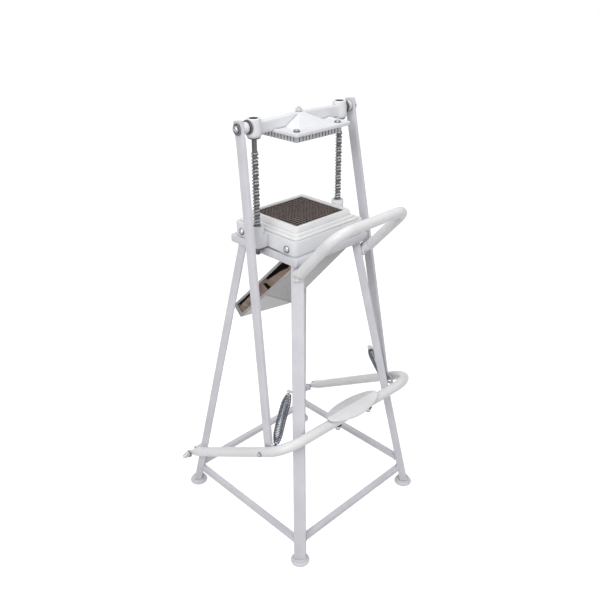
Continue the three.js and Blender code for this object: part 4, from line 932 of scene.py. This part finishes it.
def add_boss_fittings(side, sx):
    """The spacer, dark also as painted shade between boss and bar, and the dark pieces of painted shade at
    the rod's end, the bush's mouth and the boss's foot, at one end of the head.
    """
    top = top_of("crosshead")
    bush = middle_of(f"bush_{side}")
    hub = at_side(middle_of(f"link_bolt_{side}"), bush.x)
    Form().lathe(HUB_WASHER, hub, RIGHT * sx).made(f"link_spacer_{side}", dark_zinc_and_shade, "crosshead")
    cap = Form().lathe(ROD_TOP_SHADE, at_height(bush, top_of(f"guide_rod_{side}")), UP, 32)
    cap.made(f"guide_rod_top_shade_{side}", shade_black, "stand")
    mouth_shade = Form().lathe(MOUTH_SHADE_PROFILE, at_height(bush, top), UP, closed=True)
    mouth_shade.made(f"bush_mouth_shade_{side}", shade_black, "crosshead")
    foot = Form().lathe(BOSS_FOOT_SHADE, at_height(bush, top - BOSS_DEPTH), UP, 48, closed=True)
    foot.made(f"boss_foot_shade_{side}", dark_zinc_and_shade, "crosshead", (), 0, "machined_steel")


# Pull bars: broader than their solids, as the photograph shows them
BAR_SPREAD = 1.13


def add_pull_bar(side):
    name = f"pull_bar_{side}"
    upper = middle_of(f"link_bolt_{side}")
    lower = on_pedal(0, LINK_REACH)
    bar = added(f"pull_bar_painted_{side}", nodes[name].data.copy())
    for vert in bar.data.vertices:
        share = min(max((vert.co.z / MM - lower.z) / (upper.z - lower.z), 0), 1)
        middle = at((0, lower.y + (upper.y - lower.y) * share, 0)).y
        vert.co.y = middle + (vert.co.y - middle) * BAR_SPREAD
    soften(bar, 1.0, 3)
    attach(bar, name)
    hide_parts(name)


# Bolts of the head, the pins, the casting and the handle. A side bolt's sizes are its washer, its hexagon
# with the seat, its cap's radius, seat and gap to the node's end, and its shank's radius.
BAR_FACE, PIN_FACE, CASTING_FACE = 177.55, PEDAL_HALF + 9.6, 115.3
LINK_WASHER = ((0, 0), (0, 12), (0.5, 12.6), (2, 12.6), (2.4, 12), (2.4, 0))
LINK_SIZES = (None, (9.4, 3.6), 2.4, 7.4, 5.6, 0.1, 5.9)
PIN_SIZES = ((10, 1.8), (8.4, 7.6), 1.8, 6.6, CAP_SEAT, 0, 5.9)
CASTING_SIZES = ((8.6, 1.2), None, 0, 7.9, 1.2, 0, 4.1)
PUSHER_WASHER, PUSHER_NUT, PUSHER_CAP, PUSHER_SHANK = (7.6, 1), (6.4, 3.1), (4.4, 0.9), 2.5
PUSHER_RISE = 5
STUD_NUT, STUD_SEAT, STUD_RADIUS = (8, 6.6), 12, 3.9
SCREW_CAP, SCREW_SHANK, SCREW_DEPTH, SCREW_SEAT = (6, 3), (2.9, 6), 5, 1.2


def add_side_bolt(node, name, body, sx, face, sizes, bevel):
    """A domed bolt across the machine, from its node's inner end to its outer one, seated on a face."""
    washer, nut, nut_seat, cap, cap_seat, cap_gap, shank = sizes
    out = RIGHT * sx
    inner, outer = ends_across(node)
    seat = at_side(middle_of(node), sx * face)
    bolt = Form()
    if washer:
        bolt.rod(seat, out, *washer)
    if nut:
        bolt.hexagon(seat + out * nut_seat, out, *nut)
    bolt.dome(seat + out * cap_seat, out, cap, abs(outer - seat.x) - cap_seat - cap_gap)
    bolt.rod(at_side(seat, inner), out, shank, abs(seat.x - inner) + 1)
    bolt.made(name, chrome, body, [node], bevel)


def add_side_bolts(side, sx):
    """The bolts that the pull bars, the pedal and the casting hang on, at one side."""
    node = f"link_bolt_{side}"
    washer = Form().lathe(LINK_WASHER, at_side(middle_of(node), sx * BAR_FACE), RIGHT * sx)
    washer.made(f"link_washer_{side}", washer_zinc, "crosshead")
    add_side_bolt(node, f"link_nut_{side}", "crosshead", sx, BAR_FACE, LINK_SIZES, 0.3)
    add_side_bolt(f"pedal_pin_{side}", f"pedal_pin_nut_{side}", "stand", sx, PIN_FACE, PIN_SIZES, 0.3)
    for end in ENDS:
        name = f"casting_nut_{end}_{side}"
        add_side_bolt(f"casting_bolt_{end}_{side}", name, "stand", sx, CASTING_FACE, CASTING_SIZES, 0.2)


def add_pusher_bolt(number):
    node = f"pusher_bolt_{number}"
    low, high = corners_of(node)
    axis = middle_of(node)
    seat = at_height(axis, high.z - PUSHER_RISE)
    bolt = Form().rod(seat, UP, *PUSHER_WASHER).hexagon(seat + UP, UP, *PUSHER_NUT)
    bolt.dome(seat + UP * 4, UP, *PUSHER_CAP).rod(at_height(axis, low.z), UP, PUSHER_SHANK, seat.z - low.z)
    bolt.made(f"pusher_screw_{number}", chrome, "crosshead", [node], 0.2)


def add_centre_stud():
    low, high = corners_of("centre_stud")
    axis = middle_of("centre_stud")
    length = high.z - low.z
    stud = Form().hexagon(at_height(axis, low.z + STUD_SEAT), UP, *STUD_NUT)
    tip = [(length - 0.8, STUD_RADIUS), (length, STUD_RADIUS - 0.7), (length, 0)]
    stud.lathe([(0, 0), (0, STUD_RADIUS)] + tip, at_height(axis, low.z), UP)
    stud.made("centre_nut", rim_paint, "crosshead", ["centre_stud"], 0.25, "plated_fasteners")


def add_handle_bolt(side, sx):
    node = f"handle_bolt_{side}"
    out = Vector((sx, -1, 0)).normalized()
    seat = middle_of(node) + out * SCREW_SEAT
    bolt = Form().dome(seat, out, *SCREW_CAP).rod(seat - out * SCREW_DEPTH, out, *SCREW_SHANK)
    bolt.made(f"handle_screw_{side}", bright, "stand", [node], 0.2, "plated_fasteners")


# Weld beads along the edges where a stretcher meets a leg
BEAD_RADIUS, BEAD_PITCH, BEAD_STEP = 1.9, 3.4, 1.1


def seam_loops(node, axis):
    """Closed loops of points where a node's side faces meet an end that isn't square to its axis."""
    form = bmesh.new()
    form.from_mesh(nodes[node].data)
    bmesh.ops.remove_doubles(form, verts=form.verts, dist=0.00001)
    form.normal_update()
    is_end = {face: abs(face.normal[axis]) > 0.05 for face in form.faces}
    steps = {}
    for edge in form.edges:
        if len(edge.link_faces) == 2 and is_end[edge.link_faces[0]] != is_end[edge.link_faces[1]]:
            one, two = edge.verts
            steps.setdefault(one, []).append(two)
            steps.setdefault(two, []).append(one)
    loops = []
    while steps:
        first = min(steps, key=lambda vert: vert.index)
        loop, last = [first], None
        while True:
            onward = [vert for vert in steps.get(loop[-1], []) if vert is not last]
            last = loop[-1]
            if not onward or onward[0] is first:
                break
            loop.append(onward[0])
        for vert in loop:
            steps.pop(vert, None)
        loops.append([(vert.co - BACK * MIDDLE_Y) / MM for vert in loop])
    form.free()
    return loops


def neighbours(line):
    """Each point of a closed line, between the one before it and the one after."""
    return zip(line[-1:] + line[:-1], line, line[1:] + line[:1])


def bead_along(form, corners):
    """A rippled bead of weld round a closed loop."""
    line = []
    for one, two in zip(corners, corners[1:] + corners[:1]):
        steps = max(int((two - one).length / BEAD_STEP), 1)
        line += [one.lerp(two, i / steps) for i in range(steps)]
    for _ in range(2):
        line = [(before + point * 2 + after) / 4 for before, point, after in neighbours(line)]
    centre = sum(line, Vector()) / len(line)
    loops = []
    run = 0.0
    for before, point, after in neighbours(line):
        ahead = (after - before).normalized()
        out = point - centre
        out = (out - ahead * out.dot(ahead)).normalized()
        run += (point - before).length
        size = BEAD_RADIUS * (0.86 + 0.14 * abs(math.sin(math.pi * run / BEAD_PITCH)))
        loops.append(circle(point, out, ahead.cross(out), 8, size))
    form.loft(loops, closed=True)


def add_welds():
    for place, axis in (("front", 0), ("back", 0), ("left", 1), ("right", 1)):
        form = Form()
        for loop in seam_loops(f"stretcher_{place}", axis):
            if len(loop) > 3:
                bead_along(form, loop)
        form.made(f"weld_stretcher_{place}", paint, "stand")


# Grab handle: a tube whose ends flatten into tabs on the front legs, at heights and gaps to the leg
LEG_TOP, LEG_REACH = Vector((97.5, -93.5, 750)), 10
HANDLE_RADIUS, HANDLE_SIDES = 11.9, 32
HANDLE_HALF, HANDLE_FRONT, HANDLE_DROP, HANDLE_BEND = 118, 231.7, 12, 45
TAB_HALF, TAB_THICKNESS, TAB_TIP = 14, 6, 0.7
TAB_PLACES = ((713, 0.3), (722, 0.8), (730, 2.5))
TUBE_HEIGHT, TUBE_GAP, TUBE_STARTS = 727, 12, (15, 22)
TAB_SHARE, SWELL_SHARE = 0.2, 0.5


def handle_end(side, sx):
    """Points from the tab's lower end up to the corner of the tube, in front of a leg."""
    foot = at_height(middle_of(f"foot_front_{side}"), FOOT_HEIGHT)
    top = at_side(LEG_TOP, sx * LEG_TOP.x)
    face = Vector((sx, -1, 0)).normalized()

    def beside_leg(z, gap):
        return foot.lerp(top, (z - foot.z) / (top.z - foot.z)) + face * (LEG_REACH + gap)

    tab = [beside_leg(z, gap + TAB_THICKNESS / 2) for z, gap in TAB_PLACES]
    start = beside_leg(TUBE_HEIGHT, TUBE_GAP)
    corner = Vector((sx * HANDLE_HALF, -HANDLE_FRONT, top_of("grab_handle") - HANDLE_DROP))
    run = (corner - start).normalized()
    return tab + [start + run * far for far in TUBE_STARTS] + [corner]


def add_grab_handle():
    left, right = (handle_end(side, sx) for side, sx in SIDES)
    tube = bent_path([left[4], left[5], right[5], right[4]], (HANDLE_BEND, HANDLE_BEND), stretch=8)
    start, finish = curve_between(left[:5]), curve_between(right[:5])[::-1]
    path = start[:-1] + tube + finish[1:]
    first, second, last = len(start) - 1, len(start) + len(tube) - 2, len(path) - 1
    faces = [Vector((sx, -1, 0)).normalized() for side, sx in SIDES]
    loops = []
    for i, point in enumerate(path):
        share = min(i / first, (last - i) / (last - second), 1)
        middle = min(max((i - first) / (second - first), 0), 1)
        ahead = (path[min(i + 1, last)] - path[max(i - 1, 0)]).normalized()
        face = faces[0].lerp(faces[1], middle).normalized()
        y = (face - ahead * face.dot(ahead)).normalized()
        swell = eased((share - TAB_SHARE) / SWELL_SHARE)
        tip = TAB_TIP + (1 - TAB_TIP) * math.sin(min(share / TAB_SHARE, 1) * math.pi / 2)
        wide = TAB_HALF * tip * (1 - swell) + HANDLE_RADIUS * swell
        tall = TAB_THICKNESS / 2 * (1 - swell) + HANDLE_RADIUS * swell
        loops.append(circle(point, ahead.cross(y), y, HANDLE_SIDES, wide, tall, 5 - 3 * swell))
    Form().loft(loops).made("grab_handle_tube", bright, "stand", ["grab_handle"], 0.6)


# Chute: dark sheets of painted shade on its side panels (the shadow under the upper rim, a slot's dark
# inside, a dark strip at the lower end), and the folded corner at its lip
PANEL_SHADE_PATCHES = (
    ((41.6, 647.2), (30.0, 653.8), (12.1, 647.0), (23.7, 637.0)),
    (
        (30.0, 666.4), (-61.0, 757.4), (-72.0, 752.0), (-48.5, 718.5),
        (-21.2, 700.5), (5.0, 679.0), (25.0, 663.0),
    ),
    ((140.0, 556.4), (92.0, 604.4), (92.0, 597.0), (134.0, 553.6)),
)
LIP_FOLD = ((-84, 34, 619.7), (-84, 132.6, 521.1), (83.6, 118.4, 507.1))


def add_chute_trim():
    for side, sx in SIDES:
        low, high = corners_of(f"chute_panel_{side}")
        face = low.x if sx < 0 else high.x
        form = Form()
        for outline in PANEL_SHADE_PATCHES:
            outer = [Vector((face + sx * 0.25, y, z)) for y, z in outline]
            form.loft([[point - RIGHT * sx * 0.9 for point in outer], outer])
        form.made(f"chute_shade_patches_{side}", shade_black, "stand", (), 0, "bare_sheet")
    corners = [Vector(point) for point in LIP_FOLD]
    down = (corners[1] - corners[0]).cross(corners[2] - corners[0]).normalized()
    hem = Form().loft([corners, [corner + down for corner in corners]])
    hem.made("chute_folded_corner", rim_paint, "stand", (), 0.4)


# Finishes and soft edges of the solids that stay
EDGE_WIDTH = 0.6
EDGE_WIDTHS = {"casting": 2.4, "table_frame": 0.8, "chute": 0.5, "knife_grid": 0, "pusher": 0.3}


def finish_solids():
    for row in frame["record"]["subparts"]:
        name = row["node"]
        node = nodes[name]
        node.data.materials.clear()
        node.data.materials.append(by_node.get(name, by_slot[row["material_slot"]][0]))
        width = EDGE_WIDTHS.get(name, EDGE_WIDTH)
        if width and "spring_" not in name:
            soften(node, width, 3 if width > 1 else 2)


# Floor, background and lights
FLOOR_REACH, FLOOR_GLOW = 14, 0.8
ROOM_LIGHT = 0.44
LIGHT_TARGET = Vector((0, 0, 0.6))
LIGHTS = (
    ("key", (-2.7, -1.3, 2.5), 1.8, 56), ("fill", (1.0, -3.0, 1.8), 2.2, 11),
    ("back", (1.8, 3.0, 2.2), 2.0, 9), ("top", (0.0, 0.0, 3.4), 2.0, 27),
)


def add_floor():
    """A grey floor that glows towards the camera, so that it shows white and keeps soft shadows."""
    mesh = bpy.data.meshes.new("floor")
    corners = [(x * FLOOR_REACH, y * FLOOR_REACH, 0) for x, y in ((-1, -1), (1, -1), (1, 1), (-1, 1))]
    mesh.from_pydata(corners, [], [(0, 1, 2, 3)])
    floor = added("floor", mesh)
    m = material("floor")
    m.set(Base_Color=(0.5, 0.5, 0.5, 1), Roughness=0.9, Specular_IOR_Level=0.1)
    m.set(Emission_Color=(1, 1, 1, 1), Emission_Strength=m.remap(m.seen_by("Glossy"), 0, FLOOR_GLOW, 0, 1))
    mesh.materials.append(m.owner)


def add_world():
    """A background that is white to the camera and dimmer as a light."""
    world = bpy.data.worlds.new("studio")
    bpy.context.scene.world = world
    sky = Nodes(world, "Background")
    sky.set(Color=(1, 1, 1, 1), Strength=sky.remap(sky.seen_by("Transmission"), ROOM_LIGHT, 1, 0, 1))


def add_lights():
    """Square lamps, by name, place, size and power, all turned to one point."""
    for name, place, size, power in LIGHTS:
        data = bpy.data.lights.new(name, "AREA")
        data.shape = "SQUARE"
        data.size = size
        data.energy = power
        light = added(name, data)
        light.location = place
        light.rotation_euler = (LIGHT_TARGET - Vector(place)).to_track_quat("-Z", "Y").to_euler()


add_camera()
finish_solids()
add_pedal()
add_foot_plate()
for side, sx in SIDES:
    add_pedal_lug(side, sx)
    add_pedal_bolt(side, sx)
    add_rod_spring(side)
    add_pedal_spring(side, sx)
    add_guide_rod(side)
    add_pull_bar(side)
    add_side_bolts(side, sx)
    add_boss_fittings(side, sx)
    add_handle_bolt(side, sx)
    for end in ENDS:
        add_foot(end, side)
for number in range(1, 5):
    add_pusher_bolt(number)
add_centre_stud()
add_blade_holder()
add_knife_lattice()
add_crosshead()
add_grab_handle()
add_welds()
add_chute_trim()
add_floor()
add_world()
add_lights()
bpy.context.scene.view_settings.view_transform = "Standard"
